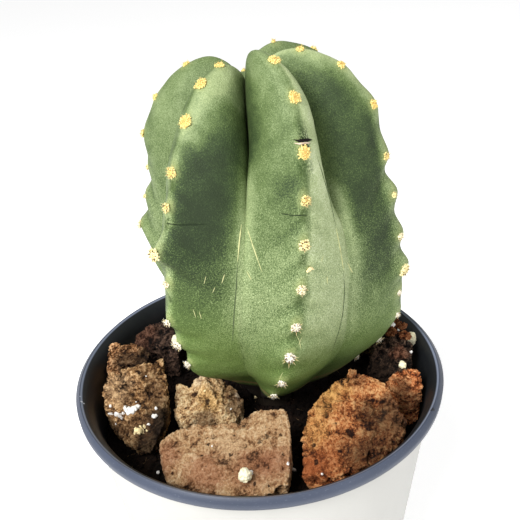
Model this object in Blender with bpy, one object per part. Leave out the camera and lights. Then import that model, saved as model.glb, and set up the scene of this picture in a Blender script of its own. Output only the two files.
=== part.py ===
"""A claret cup cactus with six ribs, in a 4 inch pot with a dressing of lava rock."""

import math

import bmesh
import bpy
import numpy as np
from mathutils import Vector, noise
from mathutils.bvhtree import BVHTree

MM = 0.001
GAP = 0.3 * MM  # the clearance between pieces that touch

# the pot, a turned shell with a rounded lip; heights are measured from the surface it stands on
POT_HEIGHT = 88 * MM
LIP_RADIUS = 52.5 * MM
LIP_HEIGHT = 3.8 * MM
LIP_INNER_RADIUS = 50.2 * MM
WALL_TOP_RADIUS = 49.6 * MM
WALL_THICKNESS = 1.5 * MM
WALL_TAPER = math.tan(math.radians(6.5))
FLOOR_TOP = 4.0 * MM
FLOOR_THICKNESS = 1.8 * MM
FOOT_WIDTH = 3.0 * MM
DRAIN_COUNT = 8
DRAIN_RADIUS = 3.2 * MM
DRAIN_CIRCLE = 25 * MM
POT_SEGMENTS = 56

# the soil, a plug inside the pot with a lumpy top and a plain hole for the stem's neck
SOIL_TOP = POT_HEIGHT - 16 * MM
SOIL_LUMP = 0.5 * MM
SOIL_RINGS = 7
NECK_CENTRE = (3.7 * MM, 5.0 * MM)
NECK_RADIUS = 6.3 * MM
NECK_BOTTOM = POT_HEIGHT - 27 * MM

# the stem: its axis, the direction of each rib from the front towards the right, and the outlines of
# a rib's crest and of the furrow between two ribs, as (distance from the axis, height above the lip)
STEM_AXIS = (5.5 * MM, 5.0 * MM)
RIB_AZIMUTHS = (-105, -43, 13, 75, 133, 190)
RIB_REACH_MID = (0.97, 1.04, 0.93, 0.965, 1.0, 1.0)  # how far each rib stands out half way up
RIB_REACH_LOW = (0.84, 0.965, 0.93, 1.05, 0.92, 0.9)  # and low down
RIB_REACH_FOOT = (0.80, 0.80, 0.95, 1.06, 0.95, 0.9)  # and where it tucks in to the neck
RIB_DROP = (2.2, 1.8, -2.2, 0, 0.4, 11)  # how much lower each rib is at the crown
FRONT_SWING = (4, 21, 36, 10, 0)  # how far the crests and furrows at the front swing left, in degrees
CROWN_SHIFT = (0, -0.5, -4, -4, -3, -1.5)  # how far left of the axis each rib ends at the crown
FOOT_SHIFT = -1.8 * MM  # and the neck stands in the soil
CREST_OUTLINE = (
    (6.2, -27), (6.2, -20), (6.2, -14.2), (9.8, -10.5), (16, -5.5), (24.5, 2), (31.8, 10), (35.5, 19), (37, 29),
    (37, 39), (35.8, 48), (33.8, 57), (31.6, 66), (28.2, 75), (21.5, 83), (13.5, 87.3), (7.5, 86), (3.8, 81),
)
FURROW_OUTLINE = (
    (6.2, -27), (6.2, -20), (6.2, -14.2), (8.4, -11.5), (12.5, -6.5), (18, 1), (23, 8), (26.5, 17),
    (28, 27), (28, 37), (26, 46), (23, 55), (18.5, 62), (13, 67), (8.5, 70), (5.5, 72), (3.6, 74), (2.4, 76),
)
ROUNDNESS_LOW = 1.15  # ribs are ridges low down and fat rolls with slots between at the crown
ROUNDNESS_TOP = 0.5
STEM_ROWS = 42
COLUMNS_A_RIB = 8

# the tubercles along each crest, with an areole on each: a pad of wool and a few short spines
AREOLES = (  # how far up each rib's crest its areoles lie, from the crown down
    (0.883, 0.80, 0.728, 0.66, 0.60, 0.54, 0.475, 0.41, 0.345, 0.28, 0.215),
    (0.92, 0.87, 0.80, 0.722, 0.668, 0.60, 0.538, 0.47, 0.415, 0.362, 0.305, 0.245),
    (0.893, 0.825, 0.745, 0.675, 0.61, 0.54, 0.475, 0.413, 0.342, 0.255),
    (0.918, 0.86, 0.78, 0.69, 0.62, 0.54, 0.473, 0.425, 0.375, 0.305, 0.24),
    (0.928, 0.86, 0.79, 0.72, 0.65, 0.58, 0.51, 0.44, 0.37, 0.30, 0.23),
    (0.895, 0.825, 0.755, 0.685, 0.615, 0.545, 0.475, 0.405, 0.335, 0.265),
)
AREOLE_RADIUS = 1.6 * MM
AREOLE_HEIGHT = 0.9 * MM
TUBERCLE_TOP = 0.25 * MM
TUBERCLE_LOW = 0.9 * MM
SPINES_AN_AREOLE = 3
SPINY_BELOW = 0.56
SPINE_LENGTH = 1.0 * MM
SPINE_ROOT = 1.6 * MM
SPINE_RADIUS = 0.3 * MM

# the dressing of lava rock: the corners of each lump, in mm from the middle of the lip; a lump with two
# lists is a pair fused into one
ROCKS = {
    "lava_rock_left": (
        ((-44, -3, 2), (-35, -4, 4), (-26.5, -1, 5), (-25.5, -9, -2), (-27.5, -18, -8), (-31, -22, -13),
         (-39, -17, -12), (-45, -8, -7), (-46, -5, -3)),
    ),
    "lava_rock_small": (
        ((-19.5, -3.5, -2.5), (-16, -2.5, 0.5), (-11, -2.5, -2.5), (-6.2, -6.5, -5), (-4.6, -8.5, -6.5),
         (-5, -11.5, -8.5), (-8, -15.5, -10), (-17, -14.8, -10), (-21, -12, -8), (-15, -9, -1.5),
         (-20.5, -7, -4)),
        ((-24.4, -3, -2), (-24.8, -5.5, -5), (-22, -7, -3.5), (-19, -6.5, -4.5), (-16, -8, -4),
         (-25.8, -8, -8), (-22.5, -14.5, -10), (-15, -13, -8), (-23, -11, -5)),
    ),
    "lava_rock_front": (
        ((-28, -22.5, -7), (-22, -20.5, -4), (-11, -22.5, -3), (-4, -23, -1), (2, -33, -4), (2, -42, -9),
         (-11, -42, -9.5), (-26, -35, -10), (-28.5, -25, -11)),
        ((-6, -22.5, -1), (0, -22.5, 2), (6.5, -23.5, 2), (7, -32, -2), (5.5, -41, -8), (-4, -40, -8)),
    ),
    "lava_rock_rust": (
        ((24, -18, 9), (17, -19, 4), (11.5, -23, 0), (9, -29, -5), (8.5, -38, -8), (15, -42, -6),
         (25, -40, -5), (34, -34, -3), (38, -31, 0), (35, -27, 4), (31, -21, 7)),
    ),
    "lava_rock_edge": (
        ((-45, 12, 3), (-37, 11, 3), (-32, 8, 1), (-33, 6, -2), (-40, 6, -3), (-46, 7, -5), (-47, 9, -1)),
    ),
    "lava_rock_dark": (
        ((-34, 22, 1), (-26, 22, 3), (-24, 14, -3), (-33, 15.5, -4), (-40, 19, -2), (-28, 28, -2)),
    ),
    "lava_rock_right": (
        ((41, 5, 4.5), (45.5, -1, 2.5), (44.5, -3.5, -4), (39, -4, -8), (31.5, -2, -8), (33, 1, 0),
         (44.6, 8.5, -3.4), (36, 10, -1)),
    ),
    "lava_rock_corner": (
        ((44, -12, 3), (46, -12.5, 1), (44.8, -15, -5), (41, -17, -8), (37, -13, -8), (34.5, -7, -6),
         (39.5, -8, 0.5)),
    ),
    "lava_rock_back_right": (
        ((34, 16, -3), (42, 14, -5), (41, 21, -2), (33, 27, -4), (29, 22, -2)),
    ),
    "lava_rock_back": (
        ((26, 30, -4), (28, 35, -6), (18, 41, -4), (11, 40, -5), (13, 32, -3), (21, 29, -2)),
    ),
    "lava_rock_behind": (
        ((6, 37, -3), (6, 43, -5), (-5, 45, -3), (-12, 41, -5), (-10, 34, -2), (0, 33, -4)),
    ),
    "lava_rock_back_left": (
        ((-16, 34, -4), (-14, 41, -5), (-24, 39, -3), (-29, 33, -5), (-22, 29, -4)),
    ),
}
ROCK_COLOURS = {
    "lava_rock_left": (0.34, 0.20, 0.11), "lava_rock_small": (0.46, 0.32, 0.17),
    "lava_rock_front": (0.42, 0.27, 0.14), "lava_rock_rust": (0.45, 0.19, 0.07),
    "lava_rock_edge": (0.21, 0.12, 0.07), "lava_rock_dark": (0.14, 0.07, 0.05),
    "lava_rock_right": (0.08, 0.06, 0.05), "lava_rock_corner": (0.26, 0.10, 0.04),
    "lava_rock_back_right": (0.36, 0.22, 0.12), "lava_rock_back": (0.38, 0.17, 0.08),
    "lava_rock_behind": (0.22, 0.13, 0.08), "lava_rock_back_left": (0.40, 0.27, 0.16),
}
ROCK_FOOT = 0.86  # the foot's outline, against the lump's
ROCK_EDGE = 6.0 * MM
ROCK_ROUGHNESS = 0.5 * MM

# the larger grains of perlite: the middle, in mm from the middle of the lip, and the half width and
# height; each comes to rest on what lies under it
PERLITE = {
    "perlite_right": ((46.5, 7.0), 2.0, 2.4),
    "perlite_left": ((-25.1, 15.1), 1.5, 1.4),
    "perlite_gap": ((40.1, -9.4), 1.2, 1.2),
    "perlite_front": ((-5.4, -39), 1.8, 1.9),
    "perlite_back_left": ((-32.5, 29.5), 2.0, 1.8),
    "perlite_back_right": ((43.2, 11.4), 1.6, 1.7),
    "perlite_back": ((8.6, 38.8), 1.5, 1.5),
}




def start_clean():
    for obj in list(bpy.data.objects):
        bpy.data.objects.remove(obj, do_unlink=True)


def material(name, colour, roughness, metallic=0.0):
    made = bpy.data.materials.new(name)
    made.use_nodes = True
    shader = made.node_tree.nodes["Principled BSDF"]
    shader.inputs["Base Color"].default_value = (*colour, 1)
    shader.inputs["Roughness"].default_value = roughness
    shader.inputs["Metallic"].default_value = metallic
    made.diffuse_color = (*colour, 1)
    return made


def new_object(name, bm, finish=None, smooth=True):
    """An object in the scene from a bmesh, with its normals facing out."""
    bmesh.ops.recalc_face_normals(bm, faces=bm.faces)
    mesh = bpy.data.meshes.new(name)
    bm.to_mesh(mesh)
    bm.free()
    if smooth:
        mesh.shade_smooth()
        mesh.set_sharp_from_angle(angle=math.radians(40))
    obj = bpy.data.objects.new(name, mesh)
    bpy.context.scene.collection.objects.link(obj)
    if finish:
        mesh.materials.append(finish)
    return obj


def smooth_curve(points, count):
    """Points evenly spaced along a Catmull-Rom curve through the given ones."""
    points = np.array(points, float)
    ends = np.vstack([2 * points[0] - points[1], points, 2 * points[-1] - points[-2]])
    fine = []
    for i in range(1, len(ends) - 2):
        before, start, end, after = ends[i - 1 : i + 3]
        for t in np.linspace(0, 1, 24, endpoint=False):
            fine.append(
                0.5 * (2 * start + (end - before) * t + (2 * before - 5 * start + 4 * end - after) * t**2
                       + (3 * start - before - 3 * end + after) * t**3)
            )
    fine.append(points[-1])
    fine = np.array(fine)
    along = np.concatenate([[0], np.cumsum(np.linalg.norm(np.diff(fine, axis=0), axis=1))])
    even = np.linspace(0, along[-1], count)
    return np.column_stack([np.interp(even, along, fine[:, k]) for k in range(2)]), along[-1]


def smooth_step(value, start, end):
    """0 at the start, 1 at the end, level at both; the end may be the lower number."""
    part = max(0.0, min(1.0, (value - start) / (end - start)))
    return part * part * (3 - 2 * part)


def direction(azimuth):
    """The unit vector at an azimuth in degrees, from the front (-Y) towards the right (+X)."""
    turn = math.radians(azimuth)
    return Vector((math.sin(turn), -math.cos(turn), 0))


def circle(bm, radius, height, centre=(0, 0)):
    """A ring of vertices, or a single one where the radius is nothing."""
    if radius == 0:
        return [bm.verts.new((*centre, height))]
    ring = []
    for i in range(POT_SEGMENTS):
        turn = 2 * math.pi * i / POT_SEGMENTS
        ring.append(
            bm.verts.new((centre[0] + radius * math.cos(turn), centre[1] + radius * math.sin(turn), height))
        )
    return ring


def skin(bm, rings):
    """Faces from each ring to the next; a ring of one vertex closes to a point."""
    for ring, after in zip(rings, rings[1:]):
        for i in range(POT_SEGMENTS):
            j = (i + 1) % POT_SEGMENTS
            if len(ring) == 1:
                bm.faces.new((ring[0], after[j], after[i]))
            elif len(after) == 1:
                bm.faces.new((ring[i], ring[j], after[0]))
            else:
                bm.faces.new((ring[i], ring[j], after[j], after[i]))


def join(target, pieces, operation="UNION"):
    """Fuses the pieces into the target, or cuts them out of it."""
    collection = bpy.data.collections.new("pieces to join")
    for piece in pieces:
        collection.objects.link(piece)
    fuse = target.modifiers.new("fuse", "BOOLEAN")
    fuse.operand_type = "COLLECTION"
    fuse.collection = collection
    fuse.operation = operation
    fuse.solver = "EXACT"
    fused = bpy.data.meshes.new_from_object(target.evaluated_get(bpy.context.evaluated_depsgraph_get()))
    target.modifiers.remove(fuse)
    target.data = fused
    for piece in pieces:
        bpy.data.objects.remove(piece, do_unlink=True)
    bpy.data.collections.remove(collection)


def wall_outside(height):
    return WALL_TOP_RADIUS - (POT_HEIGHT - LIP_HEIGHT - height) * WALL_TAPER


def wall_inside(height):
    """The pot's inner radius, which opens up into the lip."""
    flare = max(0.0, height - (POT_HEIGHT - LIP_HEIGHT)) / LIP_HEIGHT
    top = WALL_TOP_RADIUS - WALL_THICKNESS
    below = min(height, POT_HEIGHT - LIP_HEIGHT)
    return wall_outside(below) - WALL_THICKNESS + (LIP_INNER_RADIUS - top) * min(1.0, flare)


def build_pot(finish):
    under_lip = POT_HEIGHT - LIP_HEIGHT
    floor_under = FLOOR_TOP - FLOOR_THICKNESS
    foot = wall_outside(0)
    profile = (
        (0, floor_under), (foot - FOOT_WIDTH - 0.6 * MM, floor_under), (foot - FOOT_WIDTH, 0),
        (foot - 0.6 * MM, 0), (wall_outside(0.7 * MM), 0.7 * MM), (wall_outside(under_lip), under_lip),
        (LIP_RADIUS - 0.7 * MM, under_lip), (LIP_RADIUS, under_lip + 0.8 * MM),
        (LIP_RADIUS, POT_HEIGHT - 1.0 * MM), (LIP_RADIUS - 0.6 * MM, POT_HEIGHT - 0.2 * MM),
        (LIP_RADIUS - 1.2 * MM, POT_HEIGHT), (LIP_INNER_RADIUS + 0.4 * MM, POT_HEIGHT - 0.15 * MM),
        (LIP_INNER_RADIUS, POT_HEIGHT - 0.7 * MM), (wall_inside(under_lip), under_lip),
        (wall_inside(FLOOR_TOP + 1.2 * MM), FLOOR_TOP + 1.2 * MM),
        (wall_inside(FLOOR_TOP) - 1.0 * MM, FLOOR_TOP), (0, FLOOR_TOP),
    )
    bm = bmesh.new()
    skin(bm, [circle(bm, radius, height) for radius, height in profile])
    pot = new_object("pot", bm, finish)
    drains = bmesh.new()
    for i in range(DRAIN_COUNT):
        turn = 2 * math.pi * (i + 0.5) / DRAIN_COUNT
        made = bmesh.ops.create_cone(
            drains, cap_ends=True, segments=12, radius1=DRAIN_RADIUS, radius2=DRAIN_RADIUS,
            depth=4 * FLOOR_THICKNESS,
        )
        middle = Vector((math.cos(turn), math.sin(turn), 0)) * DRAIN_CIRCLE
        middle.z = FLOOR_TOP - FLOOR_THICKNESS / 2
        bmesh.ops.translate(drains, verts=made["verts"], vec=middle)
    join(pot, [new_object("drains", drains)], "DIFFERENCE")
    return pot


def soil_height(x, y):
    lumps = noise.noise(Vector((x, y, 0)) * 75) + 0.4 * noise.noise(Vector((x, y, 1)) * 190)
    return SOIL_TOP + SOIL_LUMP * max(-1.0, min(1.0, lumps))


def build_soil(finish):
    bm = bmesh.new()
    hole = NECK_RADIUS + GAP
    bottom = FLOOR_TOP + GAP
    rings = [circle(bm, 0, NECK_BOTTOM - GAP, NECK_CENTRE), circle(bm, hole, NECK_BOTTOM - GAP, NECK_CENTRE)]
    edge = wall_inside(SOIL_TOP) - GAP
    for k in range(SOIL_RINGS):
        part = k / (SOIL_RINGS - 1)
        centre = [c * (1 - part) for c in NECK_CENTRE]
        ring = circle(bm, hole + (edge - hole) * part, SOIL_TOP, centre)
        if part < 1:
            for vert in ring:
                vert.co.z = soil_height(vert.co.x, vert.co.y)
        rings.append(ring)
    low = bottom + 1.5 * MM
    rings.append(circle(bm, wall_inside(low) - GAP, low))
    rings.append(circle(bm, wall_inside(bottom) - GAP - 1.2 * MM, bottom))
    rings.append(circle(bm, 0, bottom))
    skin(bm, rings)
    return new_object("soil", bm, finish)


class Stem:
    """The ribbed stem's surface, from the neck in the soil (along = 0) to the crown (along = 1)."""

    def __init__(self, rows):
        self.crest, self.length = smooth_curve(np.array(CREST_OUTLINE) * MM, rows)
        self.furrow, _ = smooth_curve(np.array(FURROW_OUTLINE) * MM, rows)
        self.rows = rows

    def outline(self, curve, along):
        at = along * (self.rows - 1)
        return [float(np.interp(at, np.arange(self.rows), curve[:, k])) for k in range(2)]

    def tubercle(self, rib, along, crestness):
        """How far the crest stands proud here: a bump at each areole and a notch between two."""
        count = np.interp(-along, [-place for place in AREOLES[rib]], range(len(AREOLES[rib])))
        size = TUBERCLE_TOP + (TUBERCLE_LOW - TUBERCLE_TOP) * smooth_step(along, 0.75, 0.3)
        size *= smooth_step(along, 0.13, 0.2)
        return size * math.cos(2 * math.pi * count) * crestness**6

    def azimuth(self, place, along):
        """The azimuth of a place between ribs, where whole numbers are crests."""
        rib = math.floor(place)
        low = RIB_AZIMUTHS[rib % 6] + 360 * (rib // 6)
        high = RIB_AZIMUTHS[(rib + 1) % 6] + 360 * ((rib + 1) // 6)
        swing = np.interp(place, (1, 1.5, 2, 2.5, 3), FRONT_SWING, left=0, right=0)
        return low + (high - low) * (place - rib) - swing * max(0.0, 1 - along / 0.75) ** 1.5

    def between_ribs(self, values, place):
        rib = math.floor(place)
        part = smooth_step(place, rib, rib + 1)
        return values[rib % 6] * (1 - part) + values[(rib + 1) % 6] * part

    def reach(self, place, along):
        """How far this rib stands out, against the others."""
        mid, low, foot = (
            self.between_ribs(values, place) for values in (RIB_REACH_MID, RIB_REACH_LOW, RIB_REACH_FOOT)
        )
        reach = 1 + (mid - 1) * smooth_step(along, 1, 0.7)
        reach += (low - reach) * smooth_step(along, 0.52, 0.37)
        reach += (foot - reach) * smooth_step(along, 0.34, 0.2)
        return reach + (1 - reach) * smooth_step(along, 0.17, 0.105)

    def point(self, place, along):
        off = abs(place - round(place))
        roundness = ROUNDNESS_LOW + (ROUNDNESS_TOP - ROUNDNESS_LOW) * max(0, along - 0.35) / 0.65
        crestness = max(0.0, math.cos(math.pi * off)) ** roundness
        (crest_r, crest_z), (low_r, low_z) = (self.outline(c, along) for c in (self.crest, self.furrow))
        reach = self.reach(place, along)
        topness = max(0.0, (along - 0.6) / 0.4) ** 1.2
        crest_z -= self.between_ribs(RIB_DROP, place) * MM * topness
        radius = (low_r + (crest_r - low_r) * crestness) * reach
        height = low_z + (crest_z - low_z) * crestness
        radius += self.tubercle(round(place) % 6, along, crestness) * min(1, 4 * (1 - along))
        out = direction(self.azimuth(place, along))
        shift = self.between_ribs(CROWN_SHIFT, place) * MM * smooth_step(along, 0.84, 0.97)
        shift += FOOT_SHIFT * smooth_step(along, 0.24, 0.1)
        base = Vector((STEM_AXIS[0] + shift, STEM_AXIS[1], POT_HEIGHT))
        return base + out * radius + Vector((0, 0, height))


def build_stem_body(stem, finish):
    bm = bmesh.new()
    columns = 6 * COLUMNS_A_RIB
    grid = []
    for row in range(STEM_ROWS):
        along = row / (STEM_ROWS - 1)
        grid.append([bm.verts.new(stem.point(c / COLUMNS_A_RIB, along)) for c in range(columns)])
    for low, high in zip(grid, grid[1:]):
        for c in range(columns):
            d = (c + 1) % columns
            bm.faces.new((low[c], low[d], high[d], high[c]))
    for ring in (grid[0], grid[-1]):
        middle = bm.verts.new(sum((v.co for v in ring), Vector()) / columns)
        for c in range(columns):
            bm.faces.new((ring[c], ring[(c + 1) % columns], middle))
    return new_object("cactus", bm, finish)


def areole_frame(stem, rib, along):
    """The point on the crest, the direction out of the skin, and two directions in it."""
    here = stem.point(rib, along)
    upward = (stem.point(rib, along + 0.02) - stem.point(rib, along - 0.02)).normalized()
    across = (stem.point(rib + 0.06, along) - stem.point(rib - 0.06, along)).normalized()
    return here, across.cross(upward).normalized(), across, upward


def build_cactus(green, wool, spine):
    stem = Stem(STEM_ROWS)
    body = build_stem_body(stem, green)
    pads = bmesh.new()
    spines = bmesh.new()
    for rib in range(6):
        for along in AREOLES[rib]:
            here, out, across, upward = areole_frame(stem, rib, along)
            add_pad(pads, here, out, across, upward)
            if along > SPINY_BELOW:
                continue
            for k in range(SPINES_AN_AREOLE):
                turn = math.radians(90 + 360 * k / SPINES_AN_AREOLE)
                sideways = across * math.cos(turn) + upward * math.sin(turn)
                add_spine(spines, here, out, sideways)
    join(body, [new_object("pads", pads, wool), new_object("spines", spines, spine)])
    return body


def add_pad(bm, here, out, across, upward):
    """A low five-sided dome, with its foot well inside the skin."""
    rings = []
    for radius, height in ((0.9, -1.8 * MM), (1.05, 0.1 * MM), (0.75, 0.7 * AREOLE_HEIGHT)):
        ring = []
        for k in range(5):
            turn = math.radians(90 + 72 * k)
            sideways = across * math.cos(turn) + upward * math.sin(turn)
            ring.append(bm.verts.new(here + sideways * (radius * AREOLE_RADIUS) + out * height))
        rings.append(ring)
    for low, high in zip(rings, rings[1:]):
        for k in range(5):
            bm.faces.new((low[k], low[(k + 1) % 5], high[(k + 1) % 5], high[k]))
    top = bm.verts.new(here + out * AREOLE_HEIGHT)
    for k in range(5):
        bm.faces.new((rings[-1][k], rings[-1][(k + 1) % 5], top))
    bm.faces.new(reversed(rings[0]))


def add_spine(bm, here, out, sideways):
    """A three-sided spike that leans out of the wool."""
    lean = (out * 0.75 + sideways * 0.66).normalized()
    root = here + sideways * 0.55 * MM - lean * SPINE_ROOT
    side = lean.cross(out).normalized()
    other = lean.cross(side)
    base = []
    for k in range(3):
        turn = math.radians(120 * k)
        base.append(bm.verts.new(root + (side * math.cos(turn) + other * math.sin(turn)) * SPINE_RADIUS))
    tip = bm.verts.new(here + sideways * 0.55 * MM + lean * (SPINE_LENGTH + AREOLE_HEIGHT))
    for k in range(3):
        bm.faces.new((base[k], base[(k + 1) % 3], tip))
    bm.faces.new(base)


def hull_object(corners, finish, foot_level):
    """The convex hull of a lump's corners and of a smaller copy of them on the soil."""
    points = [Vector(corner) * MM + Vector((0, 0, POT_HEIGHT)) for corner in corners]
    middle = sum(points, Vector()) / len(points)
    bm = bmesh.new()
    for point in points:
        bm.verts.new(point)
        foot = middle.lerp(point, ROCK_FOOT)
        bm.verts.new((foot.x, foot.y, foot_level))
    bmesh.ops.convex_hull(bm, input=bm.verts)
    bmesh.ops.delete(bm, geom=[vert for vert in bm.verts if not vert.link_faces], context="VERTS")
    return new_object("lump", bm, finish)


def build_rock(name, lumps, finish, seed):
    """A rough lump that stands on the soil, or two fused ones."""
    foot_level = SOIL_TOP + SOIL_LUMP * 0.6 + GAP
    rock, *others = [hull_object(corners, finish, foot_level) for corners in lumps]
    if others:
        join(rock, others)
    bm = bmesh.new()
    bm.from_mesh(rock.data)
    bmesh.ops.triangulate(bm, faces=bm.faces)
    for _ in range(3):
        long_edges = [edge for edge in bm.edges if edge.calc_length() > ROCK_EDGE]
        bmesh.ops.subdivide_edges(bm, edges=long_edges, cuts=1)
        bmesh.ops.triangulate(bm, faces=bm.faces)
    bmesh.ops.smooth_vert(bm, verts=bm.verts, factor=0.2, use_axis_x=True, use_axis_y=True, use_axis_z=True)
    bm.normal_update()
    for vert in bm.verts:
        shift = noise.noise(vert.co * 150 + Vector((seed, 0, 0))) * 1.6 * ROCK_ROUGHNESS
        vert.co += vert.normal * shift
        vert.co.z = max(vert.co.z, foot_level)
        radius = math.hypot(vert.co.x, vert.co.y)
        limit = wall_inside(vert.co.z) - GAP - 0.3 * MM
        if radius > limit:
            vert.co.x *= limit / radius
            vert.co.y *= limit / radius
    bmesh.ops.remove_doubles(bm, verts=bm.verts, dist=0.05 * MM)
    bm.to_mesh(rock.data)
    bm.free()
    rock.name = name
    rock.data.name = name
    return rock


def build_perlite(name, grain, finish, grounds, seed):
    """A rough grain, lowered on to the ground that lies under it."""
    middle, half_width, half_height = grain
    bm = bmesh.new()
    bmesh.ops.create_icosphere(bm, subdivisions=2, radius=1)
    down = Vector((0, 0, -1))
    lift = -1.0
    for vert in bm.verts:
        rough = 1 + 0.2 * noise.noise(vert.co * 1.6 + Vector((seed, 0, 0)))
        size = Vector((half_width, half_width, half_height)) * MM * rough
        vert.co = Vector((*middle, 0)) * MM + vert.co * size
        above = Vector((vert.co.x, vert.co.y, POT_HEIGHT + 0.1))
        heights = [hit.z for hit in (ground.ray_cast(above, down)[0] for ground in grounds) if hit]
        lift = max([lift] + [height - vert.co.z for height in heights])
    bmesh.ops.translate(bm, verts=bm.verts, vec=(0, 0, lift))
    while any(ground.overlap(BVHTree.FromBMesh(bm)) for ground in grounds):
        bmesh.ops.translate(bm, verts=bm.verts, vec=(0, 0, 0.1 * MM))
    bmesh.ops.translate(bm, verts=bm.verts, vec=(0, 0, GAP))
    return new_object(name, bm, finish)


def main():
    start_clean()
    pot = build_pot(material("moulded pot", (0.30, 0.34, 0.40), 0.4))
    soil = build_soil(material("potting soil", (0.03, 0.02, 0.015), 0.95))
    build_cactus(
        material("cactus skin", (0.25, 0.36, 0.15), 0.5),
        material("areole wool", (0.75, 0.62, 0.28), 0.9),
        material("spines", (0.45, 0.30, 0.15), 0.6),
    )
    rocks = []
    for k, (name, lumps) in enumerate(ROCKS.items()):
        finish = material(name.replace("_", " "), ROCK_COLOURS[name], 0.95)
        rocks.append(build_rock(name, lumps, finish, 3.7 * k))
    grounds = []
    for obj in (pot, soil, *rocks):
        corners = [vert.co for vert in obj.data.vertices]
        grounds.append(BVHTree.FromPolygons(corners, [face.vertices for face in obj.data.polygons]))
    white = material("perlite", (0.85, 0.80, 0.68), 0.9)
    for k, (name, grain) in enumerate(PERLITE.items()):
        build_perlite(name, grain, white, grounds, 5.3 * k)


main()
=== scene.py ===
import math

import bmesh
import bpy
import numpy as np
from mathutils import Matrix, Vector
from mathutils.bvhtree import BVHTree


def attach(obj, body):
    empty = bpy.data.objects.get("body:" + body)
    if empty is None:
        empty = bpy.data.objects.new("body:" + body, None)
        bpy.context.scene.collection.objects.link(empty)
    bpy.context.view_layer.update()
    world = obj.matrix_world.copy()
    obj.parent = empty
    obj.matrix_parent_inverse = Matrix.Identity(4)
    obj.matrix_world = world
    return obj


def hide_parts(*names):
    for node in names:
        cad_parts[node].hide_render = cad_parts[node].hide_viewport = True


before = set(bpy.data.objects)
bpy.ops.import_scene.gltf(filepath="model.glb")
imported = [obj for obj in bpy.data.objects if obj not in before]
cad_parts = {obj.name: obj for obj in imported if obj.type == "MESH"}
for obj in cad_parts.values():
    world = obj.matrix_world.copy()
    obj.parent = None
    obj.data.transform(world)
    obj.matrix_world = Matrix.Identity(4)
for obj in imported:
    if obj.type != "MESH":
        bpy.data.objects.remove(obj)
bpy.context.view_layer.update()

mm = 0.001
scene = bpy.context.scene
scene.view_settings.view_transform = "Standard"  # a white floor stays white


# one way to make nodes, for shaders and for geometry

class Wire:
    # a node's output that can stand in a sum, which adds the Math or Vector Math node it needs
    def __init__(self, nodes, socket):
        self.nodes = nodes
        self.socket = socket

    def sum(self, operation, *values):
        vectors = [v for v in values if isinstance(v, Wire) and v.socket.type in ("VECTOR", "RGBA")]
        if not vectors:
            return self.nodes.maths(operation, *values)
        plain = [v for v in values if v is not vectors[0]]
        if operation == "MULTIPLY" and len(vectors) == 1 and not isinstance(plain[0], tuple):
            scaled = {0: vectors[0], "Scale": plain[0]}
            return self.nodes.add("ShaderNodeVectorMath", {"operation": "SCALE"}, scaled)
        return self.nodes.add("ShaderNodeVectorMath", {"operation": operation}, dict(enumerate(values)))

    def __add__(self, other):
        return self.sum("ADD", self, other)

    def __radd__(self, other):
        return self.sum("ADD", other, self)

    def __sub__(self, other):
        return self.sum("SUBTRACT", self, other)

    def __rsub__(self, other):
        return self.sum("SUBTRACT", other, self)

    def __mul__(self, other):
        return self.sum("MULTIPLY", self, other)

    def __rmul__(self, other):
        return self.sum("MULTIPLY", other, self)

    def __truediv__(self, other):
        return self.sum("DIVIDE", self, other)

    def __rtruediv__(self, other):
        return self.sum("DIVIDE", other, self)

    def __pow__(self, other):
        return self.sum("POWER", self, other)

    def __abs__(self):
        return self.sum("ABSOLUTE", self)


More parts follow.
